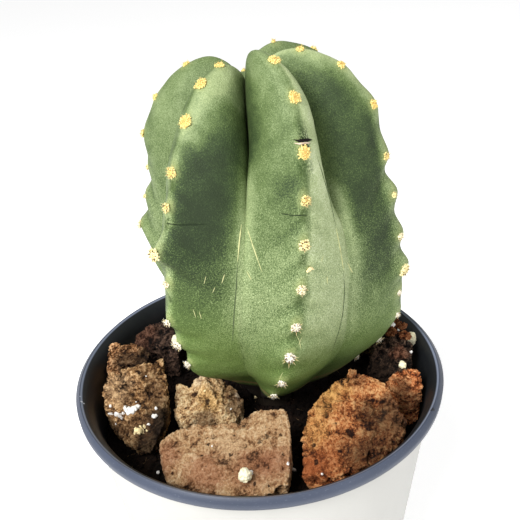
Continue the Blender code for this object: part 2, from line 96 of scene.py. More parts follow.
class Nodes:
    def __init__(self, tree):
        self.tree = tree

    def add(self, kind, settings=None, values=None, output=0):
        made = self.tree.nodes.new(kind)
        for name, setting in (settings or {}).items():
            if name != "stops":
                setattr(made, name, setting)
                continue
            elements = made.color_ramp.elements
            while len(elements) < len(setting):
                elements.new(0.5)
            for element, (place, colour) in zip(elements, setting):
                element.position = place
                element.color = colour
        for name, value in (values or {}).items():
            for one in value if isinstance(value, list) else [value]:
                if isinstance(one, Wire):
                    self.tree.links.new(one.socket, made.inputs[name])
                else:
                    made.inputs[name].default_value = one
        return Wire(self, made.outputs[output])

    def maths(self, operation, *values):
        return self.add("ShaderNodeMath", {"operation": operation}, dict(enumerate(values)))

    def vector(self, x, y, z):
        return self.add("ShaderNodeCombineXYZ", None, {0: x, 1: y, 2: z})

    def around(self, turn):  # right and up on a circle
        return self.maths("COSINE", turn), self.maths("SINE", turn)

    def away(self, place, centre):
        settings = {"operation": "DISTANCE"}
        return self.add("ShaderNodeVectorMath", settings, {0: place, 1: centre}, "Value")

    def fade(self, value, start, end):  # 0 at the start, 1 at the end, and either may be the larger
        values = {0: value, 1: start, 2: end}
        return self.add("ShaderNodeMapRange", {"interpolation_type": "SMOOTHSTEP"}, values)

    def band(self, value, low, high, soft):
        return self.fade(value, low - soft, low + soft) * self.fade(value, high + soft, high - soft)

    def blend(self, part, first, second):
        return self.add("ShaderNodeMix", {"data_type": "RGBA"}, {0: part, 6: first, 7: second}, 2)

    def ramp(self, value, *stops):
        return self.add("ShaderNodeValToRGB", {"stops": stops}, {0: value})

    def parts(self, vector):
        node = self.add("ShaderNodeSeparateXYZ", None, {0: vector}).socket.node
        return [Wire(self, output) for output in node.outputs]

    def noise(self, place, size, detail=2.0, roughness=0.5, output=0):  # size is one blob, in metres
        values = {"Vector": place, "Scale": 1 / size, "Detail": detail, "Roughness": roughness}
        return self.add("ShaderNodeTexNoise", None, values, output)

    def cells(self, place, size):  # how far it is to the middle of the nearest cell
        return self.add("ShaderNodeTexVoronoi", None, {"Vector": place, "Scale": 1 / size})

    def wander(self, place, size, reach, detail=1.0, roughness=0.5):  # a shift that varies smoothly
        return (self.noise(place, size, detail, roughness, 1) - (0.5, 0.5, 0.5)) * reach

    def bump(self, height, distance, strength, normal=None):
        values = {"Height": height, "Distance": distance, "Strength": strength}
        if normal:
            values["Normal"] = normal
        return self.add("ShaderNodeBump", None, values)

    def stored(self, name, kind="FLOAT"):  # what setValues or store put on the points
        if self.tree.type == "GEOMETRY":
            return self.add("GeometryNodeInputNamedAttribute", {"data_type": kind}, {"Name": name})
        output = "Fac" if kind == "FLOAT" else "Vector"
        return self.add("ShaderNodeAttribute", {"attribute_name": name}, None, output)

    def store(self, shape, name, value):
        settings = {"data_type": "FLOAT", "domain": "POINT"}
        values = {"Geometry": shape, "Name": name, "Value": value}
        return self.add("GeometryNodeStoreNamedAttribute", settings, values)

    def draw(self, low, high, seed):  # a random number or vector between the two
        if isinstance(low, tuple):
            values = {0: low, 1: high, "Seed": seed}
            return self.add("FunctionNodeRandomValue", {"data_type": "FLOAT_VECTOR"}, values)
        values = {2: low, 3: high, "Seed": seed}
        return self.add("FunctionNodeRandomValue", {"data_type": "FLOAT"}, values, 1)

    def spin(self, seed):
        return self.draw((0.0, 0.0, 0.0), (6.28, 6.28, 6.28), seed)

    def align(self, direction):
        return self.add("FunctionNodeAlignRotationToVector", {"axis": "Z"}, {"Vector": direction})

    def scatter(self, shape, density, seed):  # density is points on a square metre
        values = {"Mesh": shape, "Density": density, "Seed": seed}
        return self.add("GeometryNodeDistributePointsOnFaces", None, values)

    def copies(self, points, shape, turn, scale):
        values = {"Points": points, "Instance": shape, "Rotation": turn, "Scale": scale}
        return self.add("GeometryNodeInstanceOnPoints", None, values)

    def ball(self, radius, subdivisions):
        return self.add("GeometryNodeMeshIcoSphere", None, {"Radius": radius, "Subdivisions": subdivisions})

    def cone(self, sides, steps, top, bottom, length):
        return self.add("GeometryNodeMeshCone", None, {
            "Vertices": sides, "Side Segments": steps, "Radius Top": top, "Radius Bottom": bottom,
            "Depth": length})

    def move(self, shape, offset):
        return self.add("GeometryNodeSetPosition", None, {"Geometry": shape, "Offset": offset})

    def put(self, shape, place):
        return self.add("GeometryNodeSetPosition", None, {"Geometry": shape, "Position": place})

    def realize(self, shape):
        return self.add("GeometryNodeRealizeInstances", None, {0: shape})

    def smooth(self, shape):
        return self.add("GeometryNodeSetShadeSmooth", None, {0: shape})


def rgb(*levels):
    # a colour as it looks on screen, 0 to 255, made linear
    return (*[((c / 255 + 0.055) / 1.055) ** 2.4 if c > 10 else c / 3294.6 for c in levels], 1.0)


def tinted(colour, tint):
    # the tint is one number or three
    return (*np.multiply(colour[:3], tint).tolist(), 1.0)


def newFinish(name, paint, **fixed):
    # paint(nodes, place) returns what varies; what is the same all over is set on the shader itself
    finish = bpy.data.materials.new(name)
    finish.use_nodes = True
    nodes = Nodes(finish.node_tree)
    shader = finish.node_tree.nodes["Principled BSDF"]
    for socket, value in fixed.items():
        shader.inputs[socket.replace("_", " ")].default_value = value
    place = nodes.add("ShaderNodeTexCoord", None, None, "Object")
    for socket, wire in paint(nodes, place).items():
        finish.node_tree.links.new(wire.socket, shader.inputs[socket])
    return finish


def newTree(name, inputs, build):
    # a Geometry Nodes tree with named inputs; build(nodes, wires) returns the shape that it makes
    tree = bpy.data.node_groups.new(name, "GeometryNodeTree")

    def newSocket(label, kind, way="INPUT"):
        return tree.interface.new_socket(label, in_out=way, socket_type="NodeSocket" + kind)

    newSocket("Geometry", "Geometry")
    for label, value in inputs.items():
        newSocket(label, "Int" if isinstance(value, int) else "Float").default_value = value
    newSocket("finish", "Material")
    newSocket("Geometry", "Geometry", "OUTPUT")
    nodes = Nodes(tree)
    source = tree.nodes.new("NodeGroupInput")
    wires = {output.name: Wire(nodes, output) for output in source.outputs if output.name}
    shape = nodes.realize(build(nodes, wires))
    shape = nodes.add("GeometryNodeSetMaterial", None, {0: shape, "Material": wires["finish"]})
    tree.links.new(shape.socket, tree.nodes.new("NodeGroupOutput").inputs[0])
    return tree


def keepShape(obj, layers):
    # what the modifier makes becomes the object's plain mesh
    graph = bpy.context.evaluated_depsgraph_get()
    made = obj.evaluated_get(graph)
    mesh = bpy.data.meshes.new_from_object(made, preserve_all_data_layers=layers, depsgraph=graph)
    obj.modifiers.clear()
    obj.data = mesh


def runTree(obj, tree, finish, **inputs):
    # runs the tree on the object, with its own values for the inputs that aren't given
    modifier = obj.modifiers.new("nodes", "NODES")
    modifier.node_group = tree
    inputs["finish"] = finish
    for item in tree.interface.items_tree:
        if item.in_out == "INPUT" and item.name in inputs:
            modifier[item.identifier] = inputs[item.name]
    keepShape(obj, True)


def newObject(name, points, faces=(), edges=(), finish=None):
    mesh = bpy.data.meshes.new(name)
    mesh.from_pydata([tuple(p) for p in points], edges, [tuple(f) for f in faces])
    obj = bpy.data.objects.new(name, mesh)
    scene.collection.objects.link(obj)
    if finish:
        mesh.materials.append(finish)
    if len(faces):
        mesh.shade_smooth()
    return obj


def setValues(obj, name, values):
    # a number or a vector for each point
    values = np.asarray(values, np.float32)
    kind, field = ("FLOAT_VECTOR", "vector") if values.ndim == 2 else ("FLOAT", "value")
    layer = obj.data.attributes.new(name, kind, "POINT")
    layer.data.foreach_set(field, values.ravel())


def unit(vectors):
    vectors = np.asarray(vectors, float)
    return vectors / np.maximum(np.linalg.norm(vectors, axis=-1, keepdims=True), 1e-12)


def finishPiece(obj, slot, *nodes):
    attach(obj, "root")
    if nodes:
        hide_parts(*nodes)


# the camera, the floor and the lights

camera = {"place": (0, -0.1605, 0.2073), "aim": (0.00251, 0, 0.1211), "roll": 3.92, "focal": 677.4,
          "frame": 520, "sensor": 36}


def cameraAxes():
    forward = unit(np.array(camera["aim"]) - camera["place"])
    right = unit(np.cross(forward, (0, 0, 1)))
    up = np.cross(right, forward)
    roll = math.radians(camera["roll"])
    return right * math.cos(roll) - up * math.sin(roll), right * math.sin(roll) + up * math.cos(roll), forward


def buildCamera():
    right, up, forward = cameraAxes()
    data = bpy.data.cameras.new("camera")
    data.sensor_width = camera["sensor"]
    data.lens = camera["focal"] / camera["frame"] * camera["sensor"]
    data.clip_start = 0.01
    obj = bpy.data.objects.new("camera", data)
    turn = Matrix([right, up, -forward]).transposed().to_4x4()
    obj.matrix_world = Matrix.Translation(camera["place"]) @ turn
    scene.collection.objects.link(obj)
    scene.camera = obj


def seenAt(x, y, shapes):
    # the first point that the camera sees there on any of the shapes, with its normal
    right, up, forward = cameraAxes()
    half = camera["frame"] / 2
    ray = Vector(unit(forward + right * (x - half) / camera["focal"] + up * (half - y) / camera["focal"]))
    hits = [shape.ray_cast(Vector(camera["place"]), ray) for shape in shapes]
    hits = [hit for hit in hits if hit[0]]
    return min(hits, key=lambda hit: hit[3])[:2] if hits else (None, None)


def shapeOf(obj):
    return BVHTree.FromObject(obj, bpy.context.evaluated_depsgraph_get())


stage = {
    "floorReach": 4.0, "glow": 0.5, "world": 0.46,
    "lights": (  # name, place, aim, width, watts
        ("key", (-0.32, -0.42, 0.62), (0, 0, 0.12), 0.30, 7.2),
        ("fill", (0.55, -0.55, 0.35), (0, 0, 0.10), 0.60, 1.3),
    ),
}


def buildStage():
    def paint(nodes, place):
        grain = nodes.noise(place, 0.004)
        return {"Base Color": nodes.blend(grain, rgb(250, 250, 250), rgb(246, 246, 246))}

    reach = stage["floorReach"]
    finish = newFinish("pale floor", paint, Roughness=0.9, Emission_Color=(1, 1, 1, 1),
                       Emission_Strength=stage["glow"])
    corners = [(-reach, -reach, 0), (reach, -reach, 0), (reach, reach, 0), (-reach, reach, 0)]
    newObject("floor", corners, [(0, 1, 2, 3)], finish=finish)
    world = bpy.data.worlds.new("soft white room")
    scene.world = world
    world.use_nodes = True
    world.node_tree.nodes["Background"].inputs["Color"].default_value = (1, 1, 1, 1)
    world.node_tree.nodes["Background"].inputs["Strength"].default_value = stage["world"]
    for name, place, aim, width, watts in stage["lights"]:
        data = bpy.data.lights.new(name, "AREA")
        data.size = width
        data.energy = watts
        obj = bpy.data.objects.new(name, data)
        obj.location = place
        obj.rotation_euler = (Vector(aim) - Vector(place)).to_track_quat("-Z", "Y").to_euler()
        scene.collection.objects.link(obj)


buildCamera()
buildStage()
print("camera, floor and lights")


# the stem: six ribs round an axis, each row of it between the outline of a crest and of a furrow

stem = {
    "rows": 290, "columnsARib": 48, "slotDensity": 0.15,
    "axis": (5.5, 5.0), "foot": 88.0, "neckShift": -1.8,
    "azimuths": (-105, -43, 14.2, 75, 133, 190),  # one for each rib, as in the lists below
    # how far each rib reaches at three heights, as a share of the outlines given below
    "reachMid": (0.945, 1.04, 0.93, 0.945, 1.0, 1.0),
    "reachLow": (0.84, 0.965, 0.93, 1.03, 0.92, 0.9),
    "reachFoot": (0.80, 0.80, 0.95, 1.06, 0.95, 0.9),
    "drop": (2.2, 1.8, -2.2, 0, 0.4, 11),  # how much lower the rib ends at the crown
    "frontSwing": (4, 21, 36, 10, 0),  # degrees that the front ribs and furrows turn by low down
    "crownShift": (0, -0.5, -4, -4, -5.5, -1.5),  # to the side
    "shoulder": (0.05, 0, 0, 0, 0, 0),  # more reach at the height of the shoulder
    "crest": (
        (6.2, -27), (6.2, -20), (6.2, -14.2), (9.8, -10.5), (16, -5.5), (24.5, 2), (31.8, 10), (35.5, 19),
        (37, 29), (37, 39), (35.8, 48), (33.8, 57), (31.6, 66), (28.2, 75), (21.5, 83), (13.5, 87.3),
        (7.5, 86), (3.8, 81)),
    "furrow": (
        (6.2, -27), (6.2, -20), (6.2, -14.2), (8.4, -11.5), (12.5, -6.5), (18, 1), (23, 8), (26.5, 17),
        (28, 27), (28, 37), (26, 46), (23, 55), (18.5, 62), (13, 67), (8.5, 70), (5.5, 72), (3.6, 74),
        (2.4, 76)),
    "roundnessLow": 1.15, "roundnessTop": 0.5,
    "keenness": 0.85,  # how far the flanks are flat rather than rolled, low down
    "furrowDepth": (0.70, 1.02, 1.03, 0.96, 0.96, 0.94),  # the reach of the furrow after each rib
    "furrowTop": (1, 1, 0.66, 1, 1, 1),  # the same above two thirds of the height, as a share of it
    "areoles": (
        (0.883, 0.80, 0.728, 0.66, 0.60, 0.54, 0.475, 0.41, 0.345),
        (0.92, 0.87, 0.80, 0.722, 0.668, 0.60, 0.538, 0.47, 0.415, 0.362),
        (0.893, 0.825, 0.745, 0.675, 0.61, 0.54, 0.475, 0.413, 0.342, 0.255),
        (0.918, 0.86, 0.78, 0.69, 0.62, 0.54, 0.473, 0.425, 0.375, 0.305, 0.24),
        (0.928, 0.86, 0.79, 0.72, 0.65, 0.58, 0.51, 0.44, 0.37, 0.30, 0.23),
        (0.895, 0.825, 0.755, 0.685, 0.615, 0.545, 0.475, 0.405, 0.335, 0.265),
    ),
    "areoleSizes": (
        (0.55, 0.50, 0.55, 0.25, 0.25, 0.75, 0.3, 0.3, 0.3),
        (0.75, 1.0, 1.15, 0.85, 0.60, 1.05, 0.45, 0.55, 0.80, 0.50),
        (0.85, 0.90, 1.05, 0.75, 0.82, 0.70, 0.75, 0.85, 0.50, 0.40),
        (0.60, 0.65, 0.70, 0.55, 0.30, 0.55, 1.20, 0.3, 0.3, 0.55, 0.35),
        (0.20, 0.60, 0.60, 0.60, 0.60, 0.60, 0.60, 0.60, 0.60, 0.60, 0.60),
        (0.50, 0.60, 0.60, 0.60, 0.60, 0.60, 0.60, 0.60, 0.60, 0.60),
    ),
    # beside the crest, low and high
    "areoleShift": ((0.03, 0.03), (0, 0), (0, 0.028), (-0.045, -0.045), (0, 0), (0, 0)),
    "bumps": (  # place round the stem, height, how far it stands out in mm, its reach along and across
        (0, 0.727, 1.7, 0.045, 0.38), (0, 0.64, -0.8, 0.020, 0.38), (0, 0.54, 1.4, 0.022, 0.38),
        (1, 0.79, -2.0, 0.050, 0.38), (1, 0.70, -1.2, 0.050, 0.38), (1, 0.60, 2.4, 0.022, 0.38),
        (1, 0.54, -1.8, 0.040, 0.38), (1.40, 0.83, 0.8, 0.055, 0.18), (1.64, 0.80, -0.7, 0.060, 0.14),
        (3, 0.775, 0.7, 0.030, 0.30), (3, 0.655, -0.7, 0.020, 0.30), (3, 0.488, 1.4, 0.028, 0.30),
        (3, 0.42, -0.8, 0.030, 0.30)),
}


def smoothStep(value, start, end):
    part = np.clip((value - start) / (end - start), 0, 1)
    return part * part * (3 - 2 * part)


def smoothCurve(points, count, steps=24):
    # an even row of points along a smooth curve through the given ones
    points = np.array(points, float)
    ends = np.vstack([2 * points[0] - points[1], points, 2 * points[-1] - points[-2]])
    t = np.linspace(0, 1, steps, endpoint=False)[:, None]
    fine = [
        0.5 * (2 * start + (end - before) * t + (2 * before - 5 * start + 4 * end - after) * t**2
               + (3 * start - before - 3 * end + after) * t**3)
        for before, start, end, after in zip(ends, ends[1:], ends[2:], ends[3:])
    ]
    fine = np.vstack([*fine, points[-1:]])
    along = np.concatenate([[0], np.cumsum(np.linalg.norm(np.diff(fine, axis=0), axis=1))])
    even = np.linspace(0, along[-1], count)
    return np.column_stack([np.interp(even, along, fine[:, k]) for k in range(2)])


def betweenRibs(values, place):
    # from one rib's value to the next rib's
    rib = np.floor(place).astype(int)
    part = smoothStep(place - rib, 0, 1)
    values = np.array(values, float)
    return values[rib % 6] * (1 - part) + values[(rib + 1) % 6] * part


def stemOutward(place, along):
    # the way out from the axis
    rib = np.floor(place).astype(int)
    turns = np.array(stem["azimuths"], float)
    low = turns[rib % 6] + 360 * (rib // 6)
    high = turns[(rib + 1) % 6] + 360 * ((rib + 1) // 6)
    swing = np.interp(place, (1, 1.5, 2, 2.5, 3), stem["frontSwing"], left=0, right=0)
    turn = np.radians(low + (high - low) * (place - rib) - swing * np.maximum(0, 1 - along / 0.75) ** 1.5)
    return np.stack([np.sin(turn), -np.cos(turn), np.zeros_like(turn)], -1)


def stemGrid():
    # place runs round the stem, with whole numbers on the crests, and along runs from neck to crown
    half = stem["columnsARib"] // 2
    inward = np.arange(half + 1) / half
    dense = stem["slotDensity"]
    inward = 0.5 * (dense * inward + (1 - dense) * inward**2)  # closer in the slots
    offsets = np.concatenate([0.5 - inward[::-1], 0.5 + inward[1:-1]])
    places = np.concatenate([rib + offsets for rib in range(6)])
    alongs = np.linspace(0, 1, stem["rows"])
    return np.meshgrid(places, alongs)


def stemSurface(place, along):
    crest = smoothCurve(stem["crest"], stem["rows"])
    furrow = smoothCurve(stem["furrow"], stem["rows"])
    even = np.linspace(0, 1, stem["rows"])
    crestR, crestZ = (np.interp(along, even, crest[:, k]) for k in range(2))
    lowR, lowZ = (np.interp(along, even, furrow[:, k]) for k in range(2))
    off = np.abs(place - np.round(place))
    low, top = stem["roundnessLow"], stem["roundnessTop"]
    roundness = low + (top - low) * np.maximum(0, along - 0.35) / 0.65
    crestness = np.maximum(0, np.cos(np.pi * off)) ** roundness
    edge = np.maximum(0, 1.06 - np.sqrt((2 * off) ** 2 + 0.06**2)) ** 1.6
    keen = stem["keenness"] * smoothStep(along, 0.90, 0.62) * smoothStep(along, 0.12, 0.3)
    crestness = crestness * (1 - keen) + edge * keen
    rib = np.floor(place).astype(int) % 6
    depth, top = (np.array(stem[key])[rib] for key in ("furrowDepth", "furrowTop"))
    depth = depth * (1 - (1 - top) * smoothStep(along, 0.68, 0.79))
    lowR = lowR * (1 - (1 - depth) * smoothStep(off, 0.1, 0.5) * smoothStep(along, 0.2, 0.4))
    mid, low, foot = (betweenRibs(stem[key], place) for key in ("reachMid", "reachLow", "reachFoot"))
    reach = 1 + (mid - 1) * smoothStep(along, 1, 0.7)
    reach = reach + betweenRibs(stem["shoulder"], place) * np.exp(-(((along - 0.82) / 0.09) ** 2))
    reach = reach + (low - reach) * smoothStep(along, 0.52, 0.37)
    reach = reach + (foot - reach) * smoothStep(along, 0.34, 0.2)
    reach = reach + (1 - reach) * smoothStep(along, 0.17, 0.105)
    crestZ = crestZ - betweenRibs(stem["drop"], place) * np.maximum(0, (along - 0.6) / 0.4) ** 1.2
    radius = (lowR + (crestR - lowR) * crestness) * reach
    for middle, height, far, tall, wide in stem["bumps"]:
        near = far * smoothStep(np.abs(place - middle), wide, 0)
        radius = radius + near * np.exp(-(((along - height) / tall) ** 2))
    height = stem["foot"] + lowZ + (crestZ - lowZ) * crestness
    shift = betweenRibs(stem["crownShift"], place) * smoothStep(along, 0.84, 0.97)
    shift = shift + stem["neckShift"] * smoothStep(along, 0.24, 0.1)
    out = stemOutward(place, along)
    points = out * radius[..., None]
    points[..., 0] += stem["axis"][0] + shift
    points[..., 1] += stem["axis"][1]
    points[..., 2] += height
    return points * mm, crestness, out


tubercles = {"size": 0.001, "sharpness": 4.0, "pucker": 0.0005, "dent": 0.0003}


def growTubercles(nodes, wires):
    # the crests stand proud at each areole and dip between two, and the skin puckers a little
    along, crestness, phase, size = map(nodes.stored, ("along", "crestness", "phase", "swell"))
    outward = nodes.stored("outward", "FLOAT_VECTOR")
    place = nodes.add("GeometryNodeInputPosition")
    normal = nodes.add("GeometryNodeInputNormal")
    swell = nodes.maths("COSINE", phase * (2 * math.pi))
    tubercle = swell * size * wires["size"] * crestness ** wires["sharpness"]
    pucker = (nodes.noise(place * (1.0, 1.0, 1.8), 0.011, 3.0) - 0.5) * wires["pucker"]
    dent = (nodes.noise(place * (1.0, 1.0, 2.6), 0.0045) - 0.5) * wires["dent"] * nodes.fade(along, 0.6, 0.3)
    return nodes.move(wires["Geometry"], outward * tubercle + normal * (pucker + dent))


def swellOf(place, along):
    # how big the tubercles are: small at the crown, and largest at the waist of the fourth rib
    size = 0.2 + 0.55 * smoothStep(along, 0.78, 0.5)
    fourth = (np.round(place).astype(int) % 6 == 3) * 1.0
    size = size + fourth * (0.22 * smoothStep(along, 0.76, 0.70) * smoothStep(along, 0.50, 0.56))
    size = size * (1 - fourth * 0.75 * smoothStep(along, 0.50, 0.44))
    return size * smoothStep(along, 0.13, 0.2) * np.minimum(1, (1 - along) * 4)


def areolePhase(place, along):
    # whole numbers at the areoles, halves between two
    phase = np.zeros_like(along)
    nearest = np.round(place).astype(int) % 6
    for rib, places in enumerate(stem["areoles"]):
        on = nearest == rib
        phase[on] = np.interp(-along[on], [-p for p in places], range(len(places)))
    return phase


skinTones = (  # from bare deep green to the palest bloom
    (0.0, rgb(36, 48, 26)), (0.18, rgb(52, 68, 37)), (0.38, rgb(87, 105, 60)), (0.54, rgb(120, 136, 92)),
    (0.70, rgb(146, 160, 112)), (0.85, rgb(172, 186, 137)), (1.0, rgb(202, 211, 170)))


# ribs from, to and softness, heights the same, how much is added, and the patch's slope; some patches are
# pale bloom, others painted shade on flanks turned from the light or in the front rib's shadow, and painted
# light
skinPatches = (
    ((1.02, 1.28, 0.07), (0.77, 1.0, 0.05), 0.26, 0.36), ((1.3, 1.46, 0.06), (0.9, 1.02, 0.02), 0.08),
    ((1.03, 1.47, 0.07), (0.6, 0.76, 0.06), -0.32, 0.3),
    ((1.03, 1.47, 0.08), (0.43, 0.6, 0.06), -0.25, 0.3), ((1.06, 1.44, 0.09), (0.58, 0.7, 0.08), -0.2, 0.3),
    ((1.55, 1.97, 0.06), (0.62, 0.84, 0.05), -0.06), ((1.05, 1.8, 0.1), (0.18, 0.32, 0.04), -0.24),
    ((1.6, 1.97, 0.08), (0.46, 0.6, 0.05), 0.06), ((2.3, 3.1, 0.1), (0.2, 0.34, 0.04), 0.12),
    ((1.36, 1.5, 0.06), (0.5, 0.8, 0.07), 0.2), ((1.44, 1.497, 0.01), (0.46, 0.76, 0.04), 0.06),
    ((0.965, 1.03, 0.02), (0.38, 0.66, 0.04), 0.26), ((0.965, 1.03, 0.02), (0.66, 0.9, 0.04), 0.1),
    ((-0.06, 0.04, 0.02), (0.36, 0.92, 0.03), 0.12), ((1.5, 1.9, 0.015), (0.8, 1.02, 0.03), -0.08),
    ((1.5, 1.7, 0.06), (0.82, 1.02, 0.04), -0.14), ((1.7, 2.05, 0.12), (0.76, 0.98, 0.04), 0.05),
    ((1.98, 2.08, 0.03), (0.56, 0.64, 0.03), 0.14), ((1.78, 1.96, 0.06), (0.64, 0.76, 0.05), -0.08),
    ((1.505, 1.6, 0.05), (0.5, 0.8, 0.04), 0.14), ((2.05, 2.3, 0.03), (0.7, 0.97, 0.03), 0.36),
    ((2.05, 2.5, 0.025), (0.38, 0.72, 0.05), 0.32), ((2.52, 2.6, 0.05), (0.36, 0.74, 0.06), 0.17),
    ((2.6, 2.94, 0.07), (0.64, 0.89, 0.05), -0.3, 0.1), ((2.5, 2.76, 0.07), (0.86, 1.02, 0.04), -0.09),
    ((2.66, 2.94, 0.1), (0.5, 0.66, 0.08), -0.31), ((2.84, 3.12, 0.08), (0.8, 0.98, 0.04), 0.3),
    ((2.91, 3.06, 0.045), (0.34, 0.84, 0.05), 0.18), ((1.7, 2.6, 0.12), (0.2, 0.42, 0.04), -0.14),
    ((2.05, 2.45, 0.06), (0.38, 0.48, 0.03), -0.08), ((0.55, 0.95, 0.1), (0.76, 0.95, 0.05), -0.06),
)


def paintSkin(nodes, place):
    uv = nodes.parts(nodes.add("ShaderNodeUVMap", {"uv_map": "ribs"}))
    rib, along = uv[0] * 6, uv[1]
    fromCrest = abs(rib - nodes.maths("ROUND", rib))
    fromAreole = nodes.stored("fromAreole")
    phase = nodes.maths("FRACT", nodes.stored("phase"))
    broad = nodes.noise(place, 0.014, 3.0, 0.55)
    mottle = nodes.noise(place, 0.0030, 2.0, 0.6)
    grain = nodes.noise(place, 0.00025, 1.0, 0.6)
    dots = nodes.fade(nodes.cells(place, 0.00046), 0.60, 0.15)
    speckle = nodes.fade(nodes.noise(place, 0.00045, 1.0, 0.6), 0.58, 0.46)

    def grained(dark, light):
        return nodes.blend(grain, rgb(*dark), rgb(*light))

    # how much pale bloom lies on the skin, with painted shade and painted light added by the patches
    bloom = 0.475 + (broad - 0.5) * 0.30 + (mottle - 0.5) * 0.20
    wander = (nodes.noise(place, 0.008, 3.0, 0.6) - 0.5) * 0.10
    # the patches add bloom, and painted shade and painted light on the flanks
    for ribs, heights, amount, *slope in skinPatches:
        level = along + wander - (rib - ribs[0]) * slope[0] if slope else along + wander
        bloom = bloom + nodes.band(rib + wander * 0.6, *ribs) * nodes.band(level, *heights) * amount
    # painted shade in the folds between the tubercles, on the flanks
    fold = nodes.fade(abs(phase - 0.5), 0.25, 0.02) * nodes.fade(fromCrest, 0.34, 0.06)
    fold = fold * nodes.band(along, 0.30, 0.84, 0.04)
    bloom = bloom - fold * (broad * 0.2)
    stipple = (dots - 0.42) * 0.15 + (grain - 0.5) * 1.15
    bloom = bloom + stipple * (nodes.fade(along, 0.82, 0.52) * 0.54 + 0.42)
    skin = nodes.ramp(bloom, *skinTones)

    # fresher green low down, and brown at the foot of the right rib
    fresh = nodes.fade(along - nodes.fade(rib, 1.5, 1.44) * 0.08, 0.54, 0.28) * 0.75
    skin = nodes.blend(fresh, skin, grained((54, 82, 28), (128, 152, 76)))
    foot = nodes.fade(along, 0.30, 0.20) * nodes.fade(rib, 2.15, 2.5) * nodes.fade(rib, 3.5, 3.0)
    skin = nodes.blend(foot * 0.2, skin, grained((54, 58, 30), (104, 100, 62)))

    # pale round and above each areole, with a dark streak below it along the crest
    onCrest = nodes.fade(fromCrest, 0.055, 0.012) * nodes.band(along, 0.26, 0.84, 0.03)
    onCrest = onCrest * nodes.band(phase, 0.74, 0.94, 0.06)
    halo = nodes.fade(fromAreole, 0.0026, 0.0013) * 0.25 + onCrest * 0.25
    skin = nodes.blend(halo, skin, grained((120, 134, 72), (184, 188, 130)))
    streak = nodes.fade(fromCrest, 0.042, 0.010) * nodes.band(along, 0.28, 0.745, 0.015)
    streak = streak * nodes.band(phase, 0.17, 0.50, 0.06) * nodes.fade(mottle, 0.30, 0.44)
    skin = nodes.blend(streak * (speckle * 0.5 + 0.45), skin, grained((36, 50, 22), (84, 104, 52)))

    # dark marks above and beside the front rib's third areole, and a line of cork at the foot
    above = nodes.band(rib, 2.0, 2.09, 0.018) * nodes.fade(along, 0.805, 0.762)
    above = above * nodes.fade(along, 0.748, 0.756)
    beside = nodes.band(rib, 1.96, 2.10, 0.018) * nodes.band(along, 0.715, 0.738, 0.012)
    skin = nodes.blend(above * (speckle * 0.8 + 0.2), skin, rgb(34, 52, 18))
    skin = nodes.blend(beside * speckle * 0.7, skin, rgb(48, 70, 28))
    cork = nodes.band(along + (mottle - 0.5) * 0.03, 0.224, 0.240, 0.006) * nodes.fade(broad, 0.40, 0.5)
    skin = nodes.blend(cork * 0.7, skin, grained((92, 70, 42), (186, 160, 112)))

    # the neck under the stem is painted near black: its dark cork brown deepened as the painted shadow under
    # the stem
    neck = nodes.fade(along, 0.225, 0.195)
    skin = nodes.blend(neck, skin, grained((16, 12, 8), (46, 36, 24)))
    relief = nodes.bump(grain * 0.6 + dots * 0.4, 0.00020, 0.6)
    relief = nodes.bump(broad + mottle * 0.3, 0.0014, 0.3, relief)
    return {"Base Color": skin, "Roughness": 0.62 - bloom * 0.08 + neck * 0.3, "Normal": relief}


def buildStem():
    place, along = stemGrid()
    points, crestness, outward = stemSurface(place, along)
    rows, columns = place.shape
    corners = np.arange(rows * columns).reshape(rows, columns)
    right = np.roll(corners, -1, axis=1)
    faces = np.stack([corners[:-1], right[:-1], right[1:], corners[1:]], -1).reshape(-1, 4).tolist()
    ends = [points[0].mean(0), points[-1].mean(0)]
    bottom, top = rows * columns, rows * columns + 1
    faces += [(right[0][c], corners[0][c], bottom) for c in range(columns)]
    faces += [(corners[-1][c], right[-1][c], top) for c in range(columns)]
    obj = newObject("ribbedStem", np.vstack([points.reshape(-1, 3), ends]), faces)

    # where each corner of a face lies round the stem and up it
    uv = obj.data.uv_layers.new(name="ribs")
    corner = np.zeros(len(obj.data.loops), int)
    obj.data.loops.foreach_get("vertex_index", corner)
    flat = np.append(place / 6, (0.5, 0.5))[corner]
    height = np.append(along, (0, 1))[corner]
    quads = flat[: 4 * (rows - 1) * columns].reshape(-1, 4)
    seam = np.ptp(quads, axis=1) > 0.5  # the faces that close the ring
    quads[seam] += (quads[seam] < 0.5) * 1.0
    uv.data.foreach_set("uv", np.column_stack([flat, height]).astype(np.float32).ravel())

    grids = {"crestness": crestness, "swell": swellOf(place, along), "phase": areolePhase(place, along)}
    for name, values in grids.items():
        setValues(obj, name, np.append(values, (0, 0)))
    setValues(obj, "along", np.append(along, (0, 1)))
    setValues(obj, "outward", np.vstack([outward.reshape(-1, 3), [(0, 0, 0)] * 2]))
    finish = newFinish("cactus skin", paintSkin, Specular_IOR_Level=0.24)
    runTree(obj, newTree("tubercles", tubercles, growTubercles), finish)
    obj.data.shade_smooth()

    every = np.array([v.co for v in obj.data.vertices])
    stem["surface"] = every[: rows * columns].reshape(rows, columns, 3)
    stem["places"], stem["alongs"] = place[0], along[:, 0]
    frames = areoleFrames()
    distances = [np.linalg.norm(every - spot[0], axis=1) for spot in frames]
    setValues(obj, "fromAreole", np.min(distances, axis=0))
    finishPiece(obj, "cactus", "cactus")
    return obj, frames


def onStem(place, along):
    # a point of the finished skin
    row = np.interp(along, stem["alongs"], np.arange(len(stem["alongs"])))
    column = np.interp(place % 6, stem["places"], np.arange(len(stem["places"])))
    low, left = int(row), int(column)
    high, right = min(low + 1, len(stem["alongs"]) - 1), (left + 1) % len(stem["places"])
    grid = stem["surface"]
    lower = grid[low, left] * (1 - column + left) + grid[low, right] * (column - left)
    upper = grid[high, left] * (1 - column + left) + grid[high, right] * (column - left)
    return lower * (1 - row + low) + upper * (row - low)


